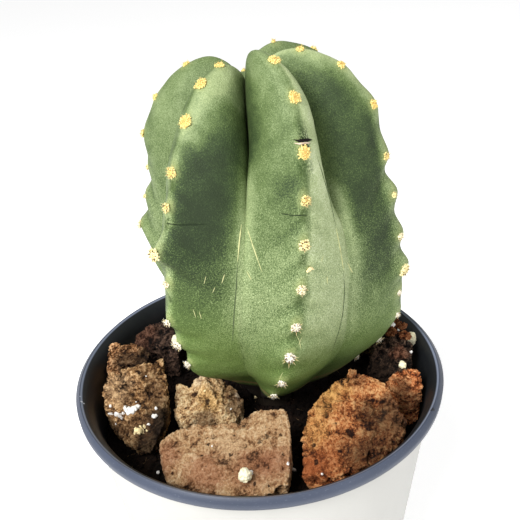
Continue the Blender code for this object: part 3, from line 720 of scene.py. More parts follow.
def areoleFrames():
    # for each areole its middle, the way out of the skin, the way up the rib, how far up it is, rib, size
    frames = []
    for rib, (places, sizes) in enumerate(zip(stem["areoles"], stem["areoleSizes"])):
        for along, size in zip(places, sizes):
            place = rib + float(np.interp(along, (0.62, 0.76), stem["areoleShift"][rib]))
            up = unit(onStem(place, along + 0.015) - onStem(place, along - 0.015))
            across = unit(onStem(place + 0.05, along) - onStem(place - 0.05, along))
            frames.append((onStem(place, along), unit(np.cross(across, up)), up, along, rib, size))
    return frames


stemPiece, areoles = buildStem()
print("stem with", len(areoles), "areoles")


# the areoles: tufts of short wool, golden at the crown and white low down, with a few spines

wool = {"clumps": 70, "clumpSize": 0.00020, "radius": 0.00145, "crown": 0.00035, "hairLength": 0.0006,
        "hairRadius": 0.000035, "stray": 0.00022, "seed": 4}
wool["hairDensity"] = 80 / (wool["clumps"] * 4 * math.pi * wool["clumpSize"] ** 2)  # 80 on each areole
goldenAngle = 2.39996  # from one clump to the next

spines = {
    "below": 0.74,  # how far up the ribs they grow
    "length": 0.0006, "growth": 0.0004, "frontGrowth": 0.0010,  # at the top, and how much more low down
    "tuft": {"count": 8, "ring": 0.00080, "rise": 0.00030, "radius": 0.00018, "lean": 1.3, "seed": 9},
}


def areolePoints(name, below=1.0):
    # a point for each areole, with what its tuft needs to know
    kept = [spot for spot in areoles if spot[3] < below]
    middles, outwards, upwards, alongs, ribs, sizes = (np.array(column) for column in zip(*kept))
    obj = newObject(name, middles)
    setValues(obj, "outward", outwards)
    setValues(obj, "upward", upwards)
    setValues(obj, "age", smoothStep(alongs, 0.80, 0.36) * np.where(sizes > 1.1, 0.55, 1.0))
    setValues(obj, "size", np.random.default_rng(wool["seed"]).uniform(0.94, 1.06, len(kept)) * sizes)
    growth = np.where(ribs == 2, spines["frontGrowth"], spines["growth"])
    lengths = spines["length"] + growth * smoothStep(alongs, 0.56, 0.30)
    setValues(obj, "spineLength", lengths * np.minimum(1.0, sizes + 0.2))
    return obj


def facing(nodes):
    # turns an instance's Z out of the skin and its Y up the rib
    values = {"Rotation": nodes.align(nodes.stored("outward", "FLOAT_VECTOR")),
              "Vector": nodes.stored("upward", "FLOAT_VECTOR")}
    return nodes.add("FunctionNodeAlignRotationToVector", {"axis": "Y", "pivot_axis": "Z"}, values)


def growWool(nodes, wires):
    # a pad with clumps on it, set out as a sunflower's seeds, and hairs on the clumps
    areole, seed, radius = wires["Geometry"], wires["seed"], wires["radius"]
    index = nodes.add("GeometryNodeInputIndex")
    part = ((index + 0.5) / wires["clumps"]) ** 0.5
    right, up = nodes.around(index * goldenAngle)
    spot = nodes.vector(right * part * radius, up * part * radius, (1 - part * part) * wires["crown"])
    pattern = nodes.put(nodes.add("GeometryNodeMeshLine", None, {"Count": wires["clumps"]}), spot)
    pattern = nodes.store(pattern, "rim", part)
    spots = nodes.realize(nodes.copies(areole, pattern, facing(nodes), nodes.stored("size")))
    spots = nodes.move(spots, nodes.draw((-1.0, -1.0, -1.0), (1.0, 1.0, 1.0), seed + 1) * wires["stray"])
    random = nodes.draw(0.55, 1.5, seed)
    clumps = nodes.realize(nodes.copies(spots, nodes.ball(wires["clumpSize"], 1), nodes.spin(seed), random))
    pad = {"Geometry": nodes.ball(radius * 0.88, 3), "Scale": (1.0, 1.0, 0.3)}
    pad = nodes.add("GeometryNodeTransform", None, pad)
    pads = nodes.copies(areole, pad, facing(nodes), nodes.stored("size"))
    hair = nodes.cone(3, 2, wires["hairRadius"] * 0.3, wires["hairRadius"], wires["hairLength"])
    roots = nodes.scatter(clumps, wires["hairDensity"], seed)
    lean = nodes.stored("outward", "FLOAT_VECTOR") + nodes.draw((-0.9, -0.9, -0.9), (0.9, 0.9, 0.9), seed)
    hairs = nodes.copies(roots, hair, nodes.align(lean), random)
    return nodes.smooth(nodes.add("GeometryNodeJoinGeometry", None, {0: [pads, clumps, hairs]}))


def paintWool(nodes, place):
    age = nodes.stored("age")
    fleck = nodes.noise(place, 0.0004, 2.0, 0.7)
    colour = nodes.ramp(age, (0.0, rgb(238, 216, 140)), (0.3, rgb(246, 232, 168)), (0.6, rgb(248, 238, 198)),
                        (0.8, rgb(248, 240, 218)), (1.0, rgb(246, 240, 224)))
    heart = nodes.fade(nodes.stored("rim"), 0.55, 0.2) * nodes.fade(age, 0.6, 0.1) * 0.6
    colour = nodes.blend(heart, colour, rgb(208, 166, 88))
    colour = nodes.blend(nodes.fade(fleck, 0.42, 0.32) * 0.4, colour, rgb(186, 156, 92))
    return {"Base Color": colour, "Normal": nodes.bump(fleck, 0.0002, 0.5)}


def growSpines(nodes, wires):
    # a few short spines stand in a ring in each areole and lean outwards
    repeated = {"Geometry": wires["Geometry"], "Amount": wires["count"]}
    points = nodes.add("GeometryNodeDuplicateElements", {"domain": "POINT"}, repeated)
    number = Wire(nodes, points.socket.node.outputs[1])
    seed = wires["seed"]
    turn = (number + nodes.draw(-0.25, 0.25, seed + 1)) / wires["count"] * (2 * math.pi) - math.pi / 2
    outward, upward = nodes.stored("outward", "FLOAT_VECTOR"), nodes.stored("upward", "FLOAT_VECTOR")
    across = nodes.add("ShaderNodeVectorMath", {"operation": "CROSS_PRODUCT"}, {0: upward, 1: outward})
    right, up = nodes.around(turn)
    sideways = across * right + upward * up
    lean = outward * nodes.draw(0.35, 1.0, seed + 2) + sideways * wires["lean"]
    roots = (sideways * wires["ring"] + outward * wires["rise"]) * nodes.stored("size")
    spine = nodes.cone(5, 3, 0.00001, wires["radius"], 1.0)
    spine = nodes.store(spine, "tip", nodes.parts(nodes.add("GeometryNodeInputPosition"))[2])
    tall = nodes.stored("spineLength") * nodes.draw(0.55, 1.3, seed + 3) + 0.0005
    made = nodes.copies(nodes.move(points, roots), spine, nodes.align(lean), nodes.vector(1.0, 1.0, tall))
    return nodes.smooth(made)


def paintSpines(nodes, place):
    colour = nodes.ramp(nodes.stored("tip"), (0.0, rgb(40, 24, 14)), (0.34, rgb(88, 58, 32)),
                        (0.55, rgb(196, 172, 112)), (1.0, rgb(236, 224, 180)))
    return {"Base Color": colour, "Roughness": 0.5 + nodes.noise(place, 0.0005) * 0.2}


def buildAreoles():
    woolFinish = newFinish("areole wool", paintWool, Roughness=0.95, Specular_IOR_Level=0.1)
    tufts, needles = areolePoints("areoleWool"), areolePoints("areoleSpines", spines["below"])
    runTree(tufts, newTree("areole wool", wool, growWool), woolFinish)
    runTree(needles, newTree("areole spines", spines["tuft"], growSpines), newFinish("spines", paintSpines))
    for obj in (tufts, needles):
        finishPiece(obj, "cactus")
        print(obj.name, len(obj.data.polygons))


buildAreoles()


# the pot: a turned shell with a slate lip, and a paler wall outside

pot = {
    "height": 88.0, "lip": 52.5, "lipHeight": 3.8, "lipInner": 50.2, "wallTop": 49.6, "wall": 1.5,
    "taper": math.tan(math.radians(6.5)), "floorTop": 4.0, "floor": 1.8, "foot": 3.0,
    # in metres
    "turning": {"segments": 224, "samples": 150, "drains": 8, "drainCircle": 0.025, "drainRadius": 0.0032},
    "scuffs": (  # x and y in the picture, reach in mm, tone
        (433.5, 409, 0.6, (16, 18, 22)), (431.5, 409.8, 0.5, (16, 18, 22)), (82, 401, 0.5, (200, 204, 210)),
        (84, 403, 0.35, (190, 194, 202)), (80.5, 396, 0.3, (170, 176, 188)),
        (118, 455, 0.3, (150, 156, 168))),
}


def potProfile():
    top = pot["height"]
    under = top - pot["lipHeight"]

    def outside(z):
        return pot["wallTop"] - (under - z) * pot["taper"]

    def inside(z):
        return outside(z) - pot["wall"]

    foot, low = outside(0), pot["floorTop"] - pot["floor"]
    lip, inner, floor = pot["lip"], pot["lipInner"], pot["floorTop"]
    corners = [  # radius, height, how far the corner is rounded
        (0, low, 0), (foot - pot["foot"] - 0.6, low, 0.3), (foot - pot["foot"], 0, 0.3), (foot - 0.4, 0, 0.4),
        (outside(1.0), 1.0, 0.5), (outside(under - 0.2), under - 0.2, 0.3), (lip - 0.2, under, 0.7),
        (lip, top - 0.6, 0.9), (lip - 0.9, top, 0.7), (inner + 0.75, top - 0.05, 0.2),
        (inner + 0.5, top - 0.3, 0.2), (inner, top - 0.45, 0.3), (inside(under) + 0.1, under, 0.8),
        (inside(6.0), 6.0, 1.5), (inside(floor) - 1.0, floor, 0.8), (0, floor, 0),
    ]
    points = []
    for k, (radius, height, bend) in enumerate(corners):
        here = Vector((radius, height))
        if bend == 0:
            points.append(here)
            continue
        before, after = (Vector(corners[i][:2]) for i in (k - 1, k + 1))
        start = here + (before - here).normalized() * min(bend, (before - here).length * 0.45)
        end = here + (after - here).normalized() * min(bend, (after - here).length * 0.45)
        for t in np.linspace(0, 1, 5):
            points.append(start * (1 - t) ** 2 + here * 2 * t * (1 - t) + end * t**2)
    return [(p.x * mm, 0, p.y * mm) for p in points]


def turnPot(nodes, wires):
    # turns the profile round the upright axis and cuts the ring of drainage holes
    profile = nodes.add("GeometryNodeMeshToCurve", None, {0: wires["Geometry"]})
    segments, samples = wires["segments"], wires["samples"]
    sheet = nodes.add("GeometryNodeMeshGrid", None, {
        "Size X": 1.0, "Size Y": 1.0, "Vertices X": segments, "Vertices Y": samples})
    index = nodes.add("GeometryNodeInputIndex")
    column = nodes.maths("FLOOR", (index + 0.5) / samples)
    row = index - column * samples
    settings = {"mode": "FACTOR", "data_type": "FLOAT"}
    values = {"Curves": profile, "Factor": row / (samples - 1)}
    sample = nodes.add("GeometryNodeSampleCurve", settings, values, "Position")
    radius, _, height = nodes.parts(sample)
    right, up = nodes.around(column / (segments - 1) * (2 * math.pi))
    shell = nodes.put(sheet, nodes.vector(right * radius, up * radius, height))
    shell = nodes.add("GeometryNodeMergeByDistance", None, {"Geometry": shell, "Distance": 0.000005})
    circle = {"Vertices": wires["drains"], "Radius": wires["drainCircle"]}
    peg = {"Vertices": 32, "Radius": wires["drainRadius"], "Depth": 0.012}
    pegs = nodes.add("GeometryNodeInstanceOnPoints", None, {
        "Points": nodes.add("GeometryNodeMeshCircle", None, circle),
        "Instance": nodes.add("GeometryNodeMeshCylinder", None, peg)})
    pegs = nodes.add("GeometryNodeTransform", None, {
        "Geometry": pegs, "Rotation": (0.0, 0.0, math.radians(22.5)), "Translation": (0.0, 0.0, 0.003)})
    return nodes.smooth(nodes.add("GeometryNodeMeshBoolean", {"operation": "DIFFERENCE", "solver": "EXACT"},
                                  {"Mesh 1": shell, "Mesh 2": pegs}))


def paintPot(nodes, place):
    x, y, z = nodes.parts(place)
    radius = (x * x + y * y) ** 0.5
    lipLine = (pot["height"] - pot["lipHeight"]) * mm
    onLip = nodes.fade(z, lipLine - 0.00015, lipLine + 0.0001)
    inside = nodes.fade(radius - (z - lipLine) * pot["taper"], 0.0490, 0.0487) * nodes.fade(z, 0.0035, 0.0042)
    inLip = nodes.fade(radius, 0.0508, 0.0504) * nodes.fade(z, lipLine, lipLine + 0.0004)
    inside = nodes.maths("MAXIMUM", inside, inLip)
    haze = nodes.noise(place * (1.0, 1.0, 0.5), 0.02, 3.0)
    scuff = nodes.noise(place * (1.0, 1.0, 3.0), 0.0009, 4.0, 0.7)
    slate = nodes.blend(haze, rgb(50, 57, 73), rgb(70, 78, 96))
    slate = nodes.blend(nodes.fade(scuff, 0.60, 0.72) * 0.4, slate, rgb(128, 134, 148))
    # a painted highlight: a pale line along the top of the lip
    edge = nodes.band(radius, 0.0506, 0.0511, 0.00012) * nodes.fade(z, 0.0868, 0.0873)
    slate = nodes.blend(edge * 0.7, slate, rgb(140, 148, 168))
    # inside the pot the plastic is painted near black, darker than the slate lip: its own dark colour
    # deepened as painted shade
    dark = nodes.blend(haze, rgb(16, 18, 20), rgb(30, 33, 37))
    pale = nodes.blend(haze, rgb(174, 173, 168), rgb(192, 191, 186))
    pale = nodes.blend(nodes.fade(scuff, 0.58, 0.7) * 0.15, pale, rgb(160, 160, 156))
    colour = nodes.blend(onLip, pale, slate)
    colour = nodes.blend(inside * nodes.fade(z, 0.0878, 0.0874), colour, dark)
    for centre, reach, tone in pot["marks"]:
        away = nodes.away(place, centre) + (scuff - 0.5) * reach
        colour = nodes.blend(nodes.fade(away, reach, reach * 0.7) * 0.85, colour, tone)
    fine = nodes.bump(nodes.noise(place, 0.0006), 0.00006, 0.5)
    return {"Base Color": colour, "Roughness": 0.38 + scuff * 0.2, "Normal": fine}


def buildPot():
    shape = shapeOf(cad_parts["pot"])
    pot["marks"] = [
        (seenAt(x, y, [shape])[0], reach * mm, rgb(*tone)) for x, y, reach, tone in pot["scuffs"]]
    profile = potProfile()
    obj = newObject("nurseryPot", profile, edges=[(i, i + 1) for i in range(len(profile) - 1)])
    finish = newFinish("moulded pot", paintPot, Specular_IOR_Level=0.45)
    runTree(obj, newTree("turned pot", pot["turning"], turnPot), finish)
    obj.data.set_sharp_from_angle(angle=math.radians(50))
    finishPiece(obj, "pot", "pot")
    print("pot", len(obj.data.polygons), "faces")


buildPot()


# the lava rock: each lump takes its CAD node's shape and gets its broken, pitted surface

rockColours = {  # slot: crevices, deep, main, light; the crevice colour is painted shade in the low places, and the light one is partly a painted highlight on the high ones
    "lava_brown": (rgb(24, 15, 10), rgb(78, 54, 34), rgb(136, 102, 66), rgb(202, 172, 132)),
    "lava_tan": (rgb(46, 30, 20), rgb(128, 92, 62), rgb(186, 150, 112), rgb(228, 206, 172)),
    "lava_rust": (rgb(34, 17, 10), rgb(118, 62, 32), rgb(184, 112, 62), rgb(226, 172, 116)),
    "lava_dark": (rgb(10, 7, 6), rgb(34, 24, 19), rgb(66, 49, 40), rgb(118, 92, 76)),
}

# the near-black tone is painted shade in cavities, under the rocks and between them, and the umber brown is
# partly painted shade on their dark sides
patchTones = {
    "soot": rgb(34, 23, 14), "umber": rgb(88, 60, 38), "red": rgb(144, 84, 56), "rust": rgb(150, 78, 40),
    "ochre": rgb(220, 172, 98), "tan": rgb(204, 172, 134), "dust": rgb(216, 196, 170),
}

# sizes: how large and deep the lumps are, how deep the hollows, how large and deep the grains, and how far
# apart and deep the pores, in mm; patches: where in the picture, reach in mm, tone, strength
# crease: how dark the creases are painted, as shade
plainRock = {
    "voxel": 0.55, "sizes": (5.0, 0.9, 1.3, 1.8, 0.6, 2.3, 0.8), "stretch": (1, 1, 1),
    "tint": 1.0, "contrast": 1.0, "crease": 1.0, "patches": (),
}
lavaRocks = {  # each lump, where it differs from the plain one
    "lava_rock_left": {
        "slot": "lava_brown", "seed": 3, "voxel": 0.32, "sizes": (5.0, 1.0, 1.9, 1.9, 0.8, 2.4, 0.9),
        "tint": (1.6, 1.54, 1.44), "contrast": 0.8,
        "patches": (
            (116, 388, 5, "tan", 0.4), (154, 392, 4, "umber", 0.7), (164, 420, 6, "soot", 0.95),
            (152, 446, 7, "soot", 0.9), (118, 434, 5, "umber", 0.8), (148, 372, 3, "umber", 0.5),
            (140, 424, 4, "umber", 0.6), (133, 452, 5, "soot", 0.7), (128, 400, 2.5, "umber", 0.5),
        ),
    },
    "lava_rock_small": {
        "slot": "lava_tan", "seed": 8, "voxel": 0.3, "sizes": (4.0, 0.8, 1.0, 1.5, 0.5, 2.6, 0.6),
        "tint": (1.42, 1.46, 1.32), "contrast": 0.72,
        "patches": (
            (208, 400, 4.0, "ochre", 0.55), (239, 404, 4.5, "umber", 0.75), (238, 397, 1.0, "dust", 0.6),
            (205, 424, 4.5, "umber", 0.7), (178, 398, 3.0, "umber", 0.35), (200, 378, 3.0, "dust", 0.4),
        ),
    },
    "lava_rock_front": {
        "slot": "lava_tan", "seed": 12, "voxel": 0.32, "sizes": (6.0, 0.7, 0.7, 1.2, 0.4, 1.9, 0.7),
        "tint": (1.03, 0.98, 0.9), "contrast": 0.62, "crease": 0.25,
        "patches": (
            (164, 458, 5, "red", 0.6), (205, 474, 6, "red", 0.6), (248, 468, 6, "red", 0.6),
            (276, 462, 5, "red", 0.6), (292, 440, 4, "rust", 0.7), (228, 446, 4, "tan", 0.3),
            (213, 438, 0.8, "umber", 0.9), (264, 437, 0.9, "soot", 0.8),
        ),
    },
    "lava_rock_rust": {
        "slot": "lava_rust", "seed": 17, "voxel": 0.32, "sizes": (5.0, 1.4, 2.1, 2.3, 0.65, 3.0, 1.2),
        "crease": 0.4,
        "patches": (
            (322, 398, 5, "ochre", 0.5), (338, 388, 4, "ochre", 0.4), (314, 428, 5, "ochre", 0.35),
            (371, 412, 4.5, "soot", 0.75), (383, 440, 6, "soot", 0.7), (364, 462, 5, "soot", 0.65),
            (398, 412, 4, "umber", 0.75), (404, 425, 4, "umber", 0.7), (390, 402, 3, "umber", 0.5),
            (352, 442, 4, "umber", 0.4), (304, 470, 6, "rust", 0.8), (326, 462, 5, "rust", 0.5),
            (411, 420, 1.8, "dust", 0.6), (379, 415, 1.8, "soot", 0.9), (356, 376, 3, "umber", 0.5),
        ),
    },
    "lava_rock_edge": {
        "slot": "lava_brown", "seed": 21, "voxel": 0.42, "sizes": (5.0, 1.0, 1.5, 1.8, 0.7, 2.4, 0.8),
        "tint": (1.7, 1.48, 1.4),
        "patches": (
            (102, 366, 3, "umber", 0.4), (128, 366, 5, "soot", 0.8), (146, 356, 4, "soot", 0.9),
        ),
    },
    "lava_rock_dark": {
        "slot": "lava_dark", "seed": 26, "voxel": 0.45, "sizes": (4.0, 1.2, 1.5, 1.8, 0.8, 2.4, 0.9),
        "patches": (
            (140, 335, 6, "red", 0.2),
        ),
    },
    "lava_rock_right": {
        "slot": "lava_dark", "seed": 31, "voxel": 0.36, "sizes": (3.6, 1.3, 2.0, 1.5, 0.9, 2.0, 1.0),
        "tint": (1.25, 1.3, 1.25),
        "patches": (
            (398, 352, 2.5, "red", 0.4), (378, 376, 6, "soot", 0.85),
        ),
    },
    "lava_rock_corner": {
        "slot": "lava_rust", "seed": 35, "voxel": 0.36, "sizes": (4.0, 1.0, 1.4, 1.7, 0.65, 2.8, 0.8),
        "stretch": (0.6, 0.6, 1.8), "tint": (1.4, 1.3, 1.35), "crease": 0.6,
        "patches": (
            (430, 372, 3, "dust", 0.4), (412, 404, 5, "soot", 0.7), (402, 386, 3, "umber", 0.7),
            (424, 392, 3, "umber", 0.6),
        ),
    },
    "lava_rock_back_right": {"slot": "lava_brown", "seed": 41},
    "lava_rock_back": {"slot": "lava_rust", "seed": 44},
    "lava_rock_behind": {"slot": "lava_brown", "seed": 49},
    "lava_rock_back_left": {"slot": "lava_tan", "seed": 53},
}


def lavaInputs(sizes, seed, crease=1.0, stretch=(1, 1, 1)):
    names = ("lumpSize", "lumpDepth", "hollowDepth", "grainSize", "grainDepth", "poreSpacing", "poreDepth")
    inputs = {name: size * mm for name, size in zip(names, sizes)}
    inputs.update(zip(("stretchX", "stretchY", "stretchZ"), map(float, stretch)))
    return {**inputs, "crease": crease, "seed": float(seed)}


def breakLava(nodes, wires):
    # broad lumps, coarse grains with crevices between them, and pores of many sizes
    place = nodes.add("GeometryNodeInputPosition")
    normal = nodes.add("GeometryNodeInputNormal")
    seed, lumps, grains = wires["seed"], wires["lumpSize"], wires["grainSize"]
    moved = place + nodes.vector(seed * 0.1, seed * 0.07, 0.0)
    drawn = moved * nodes.vector(wires["stretchX"], wires["stretchY"], wires["stretchZ"])
    broad = nodes.noise(drawn, lumps, 2.0, 0.6) - 0.5
    hollow = nodes.fade(nodes.noise(drawn + (0.3, 0.2, 0.1), lumps * 0.7, 3.0, 0.6), 0.50, 0.33)
    grain = nodes.noise(drawn, grains, 3.0, 0.65) - 0.5
    bent = drawn + nodes.wander(moved, grains, grains * 0.8)
    beads = nodes.fade(nodes.cells(bent, grains * 0.6), 0.75, 0.10)
    crease = nodes.noise(drawn * (1.0, 1.0, 1.4) + (0.5, 0.1, 0.4), grains * 1.7, 3.0, 0.65)
    crease = nodes.fade(abs(crease - 0.5), 0.055, 0.0)
    distance = nodes.cells(bent, wires["poreSpacing"])
    chance = nodes.parts(Wire(nodes, distance.socket.node.outputs["Color"]))[0]
    width = nodes.fade(chance, 0.40, 1.0) * 0.40 + 0.001  # some cells have no pore
    pore = nodes.fade(distance, width, width * 0.4)
    shift = (grain * 1.9 + beads * 0.2 - 0.25 - crease * 0.7) * wires["grainDepth"]
    shift = broad * wires["lumpDepth"] * 2 + shift
    shift = shift - hollow * wires["hollowDepth"] - pore * wires["poreDepth"]
    shape = nodes.move(wires["Geometry"], normal * nodes.maths("MINIMUM", shift, 0.0003))
    # relief: how high the surface lies; the finish paints shade in hollows and creases from it, and light on
    # the raised grains
    relief = broad * 0.5 + grain * 1.5 + beads * 0.12 + 0.55 - hollow * 0.45
    relief = relief - crease * 0.40 * wires["crease"]
    return nodes.smooth(nodes.store(nodes.store(shape, "pore", pore), "relief", relief))


def rockFinish(name, slot, seed, patches=(), tint=1.0, contrast=1.0):
    crevice, deep, main, light = [tinted(colour, tint) for colour in rockColours[slot]]

    def paint(nodes, place):
        moved = place + (seed * 0.11, seed * 0.07, 0.0)
        pore, relief = nodes.stored("pore"), nodes.stored("relief")
        mottle = nodes.noise(moved, 0.0022, 3.0, 0.7)
        grit = nodes.noise(moved, 0.00055, 3.0, 0.8)
        # the tone follows the relief: darker in hollows and creases as painted shade, lighter on raised lumps
        # as painted light
        tone = ((mottle - 0.5) * 0.9 + (grit - 0.5) * 1.5 + (relief - 0.5) * 0.9) * contrast + 0.5
        colour = nodes.ramp(tone, (0.02, crevice), (0.26, deep), (0.50, main), (0.84, light))
        bent = place + nodes.wander(moved, 0.005, 0.009, 4.0, 0.8)
        for centre, reach, shade, strength in patches:
            part = nodes.fade(nodes.away(bent, centre), reach * 1.35, reach * 0.45) * strength
            varied = nodes.blend(nodes.fade(tone, 0.1, 0.8), tinted(shade, 0.4), tinted(shade, 1.25))
            colour = nodes.blend(part, colour, varied)
        # pores and the lowest places take the crevice colour: painted shade
        colour = nodes.blend(nodes.fade(pore, 0.1, 0.7) * 0.9, colour, crevice)
        colour = nodes.blend(nodes.fade(relief, 0.28, -0.08) * 0.85, colour, crevice)
        speck = nodes.fade(nodes.cells(moved, 0.0013), 0.20, 0.1) * nodes.fade(grit, 0.5, 0.6)
        colour = nodes.blend(speck * 0.6, colour, light)
        relieved = nodes.bump(mottle * 0.7 + grit, 0.0009, 1.0)
        return {"Base Color": colour, "Roughness": 0.88 + grit * 0.1, "Normal": relieved}

    return newFinish(name, paint, Specular_IOR_Level=0.2)


def roughCopy(node, name, voxel):
    # the CAD node's shape as an even mesh of small faces
    bm = bmesh.new()
    bm.from_mesh(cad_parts[node].data)
    bmesh.ops.remove_doubles(bm, verts=bm.verts, dist=0.00001)
    obj = newObject(name, ())
    bm.to_mesh(obj.data)
    bm.free()
    remesh = obj.modifiers.new("even", "REMESH")
    remesh.mode = "VOXEL"
    remesh.voxel_size = voxel * mm
    keepShape(obj, False)
    obj.data.materials.clear()
    return obj


def pieceName(first, node, skipped):
    return first + "".join(word.capitalize() for word in node.split("_")[skipped:])


def buildRocks():
    made = []
    for node, own in lavaRocks.items():
        rock = {**plainRock, **own}
        name = pieceName("lava", node, 2)
        obj = roughCopy(node, name, rock["voxel"])
        shape = shapeOf(obj)
        patches = [(seenAt(x, y, [shape])[0], reach * mm, patchTones[tone], strength)
                   for x, y, reach, tone, strength in rock["patches"]]
        patches = [patch for patch in patches if patch[0]]
        finish = rockFinish(name, rock["slot"], rock["seed"], patches, rock["tint"], rock["contrast"])
        inputs = lavaInputs(rock["sizes"], rock["seed"], rock["crease"], rock["stretch"])
        runTree(obj, lavaTree, finish, **inputs)
        finishPiece(obj, rock["slot"], node)
        made.append(obj)
        print(name, len(obj.data.polygons))
    return made


lavaTree = newTree("lava rock", lavaInputs(plainRock["sizes"], 1), breakLava)
rocks = buildRocks()


# small chips of lava on the rock at the right

chips = {
    "subdivisions": 5, "squash": (1.35, 0.85, 0.75), "seed": 70,
    "search": 60,  # how far below its spot in the picture a chip may find the rock
    "sizes": (2.6, 1.6, 0.9, 1.1, 0.8, 1.6, 0.2),  # as for the rocks
    "tint": (0.62, 0.55, 0.60),
    "spots": ((396, 326, 2.4, 0.6), (404.5, 325, 1.6, 0.6), (389, 334, 1.9, 0.5)),  # x, y, radius in mm, rise
}


def buildChips(shapes):
    bm = bmesh.new()
    for x, y, radius, rise in chips["spots"]:
        found = (seenAt(x, y + down, shapes)[0] for down in range(chips["search"]))
        spot = next(spot for spot in found if spot)
        place = Matrix.Translation(spot + Vector((0, 0, radius * rise * mm)))
        turn = Matrix.Rotation(x, 4, "Z") @ Matrix.Diagonal((*chips["squash"], 1))
        bmesh.ops.create_icosphere(
            bm, subdivisions=chips["subdivisions"], radius=radius * mm, matrix=place @ turn)
    obj = newObject("lavaChips", ())
    bm.to_mesh(obj.data)
    bm.free()
    finish = rockFinish("lava chips", "lava_rust", chips["seed"], tint=chips["tint"])
    runTree(obj, lavaTree, finish, **lavaInputs(chips["sizes"], chips["seed"]))
    finishPiece(obj, "lava_rust")
    return obj


looseChips = buildChips([shapeOf(obj) for obj in rocks])


# perlite: pale puffed grains among the rocks

perlite = {"voxel": 0.2, "sizes": (1.8, 0.5, 0.3, 0.7, 0.16, 1.0, 0.15), "seed": 60}


def paintPerlite(nodes, place):
    broad = nodes.noise(place, 0.003, 2.0)
    grit = nodes.noise(place, 0.0004, 3.0, 0.7)
    colour = nodes.blend(broad, rgb(252, 240, 190), rgb(255, 250, 226))
    # pores painted a darker tan, as shade in them
    colour = nodes.blend(nodes.fade(nodes.stored("pore"), 0.2, 0.9) * 0.5, colour, rgb(190, 172, 124))
    colour = nodes.blend(nodes.fade(grit, 0.42, 0.30) * 0.4, colour, rgb(206, 190, 146))
    return {"Base Color": colour, "Normal": nodes.bump(grit, 0.00025, 0.6)}


def buildPerlite():
    finish = newFinish("perlite", paintPerlite, Roughness=0.85, Specular_IOR_Level=0.25)
    nodes = sorted(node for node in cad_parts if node.startswith("perlite"))
    for seed, node in enumerate(nodes, perlite["seed"]):
        obj = roughCopy(node, pieceName("grain", node, 1), perlite["voxel"])
        runTree(obj, lavaTree, finish, **lavaInputs(perlite["sizes"], seed))
        finishPiece(obj, "perlite", node)
    print("perlite", len(nodes), "grains")


buildPerlite()


# the soil: dark crumbly mix, with loose crumbs and fine fibres on it

soilVoxel, soilArea = 1.1, math.pi * 0.046**2
soil = {"lumpDepth": 0.0012, "crumbDensity": 2600 / soilArea, "crumbSize": 0.0011,
        "fibreDensity": 260 / soilArea, "fibreLength": 0.0045, "fibreRadius": 0.00005, "seed": 7}


def paintSoil(nodes, place):
    broad = nodes.noise(place, 0.006, 3.0, 0.6)
    grit = nodes.noise(place, 0.0006, 4.0, 0.75)
    # near black: the soil's dark brown painted darker as the shade in the gaps between the rocks
    colour = nodes.blend(nodes.fade(grit, 0.35, 0.65), rgb(7, 5, 4), rgb(30, 20, 14))
    colour = nodes.blend(nodes.fade(broad, 0.5, 0.65) * 0.5, colour, rgb(44, 28, 18))
    straw = nodes.blend(grit, rgb(74, 48, 28), rgb(176, 148, 108))
    colour = nodes.blend(nodes.stored("fibre"), colour, straw)
    return {"Base Color": colour, "Normal": nodes.bump(grit + broad * 0.5, 0.0008, 0.9)}


def strewSoil(nodes, wires):
    seed = wires["seed"]
    place = nodes.add("GeometryNodeInputPosition")
    upness = nodes.parts(nodes.add("GeometryNodeInputNormal"))[2]
    lumps = (nodes.noise(place, 0.004, 3.0, 0.6) - 0.5) * wires["lumpDepth"] * nodes.fade(upness, 0.5, 0.8)
    bed = nodes.move(wires["Geometry"], nodes.vector(0.0, 0.0, lumps))
    top = nodes.maths("GREATER_THAN", upness, 0.6)
    scale = nodes.draw((0.25, 0.25, 0.2), (1.5, 0.9, 0.7), seed)

    crumb = nodes.ball(wires["crumbSize"], 1)
    crumb = nodes.move(crumb, nodes.wander(place * 900.0, 1.0, wires["crumbSize"] * 1.6))
    spots = nodes.scatter(bed, wires["crumbDensity"] * top, seed)
    crumbs = nodes.copies(spots, crumb, nodes.spin(seed), scale)

    radius, length = wires["fibreRadius"], wires["fibreLength"]
    fibre = nodes.cone(4, 6, radius * 0.4, radius, length)
    fibre = nodes.move(fibre, nodes.wander(place, 0.003, length * 0.4))
    lying = nodes.scatter(bed, wires["fibreDensity"] * top, seed + 1)
    flat = nodes.draw((1.2, -0.4, 0.0), (1.9, 0.4, 6.28), seed + 2)
    fibres = nodes.store(nodes.realize(nodes.copies(lying, fibre, flat, scale)), "fibre", 1.0)
    return nodes.add("GeometryNodeJoinGeometry", None, {0: [bed, crumbs, fibres]})


def buildSoil():
    obj = roughCopy("soil", "pottingSoil", soilVoxel)
    finish = newFinish("potting soil", paintSoil, Roughness=0.97, Specular_IOR_Level=0.15)
    runTree(obj, newTree("soil", soil, strewSoil), finish)
    finishPiece(obj, "soil", "soil")
    print("soil", len(obj.data.polygons))
    return obj


soilBed = buildSoil()


# pale crumbs of perlite that lie on the rocks and the soil, each where the picture shows one

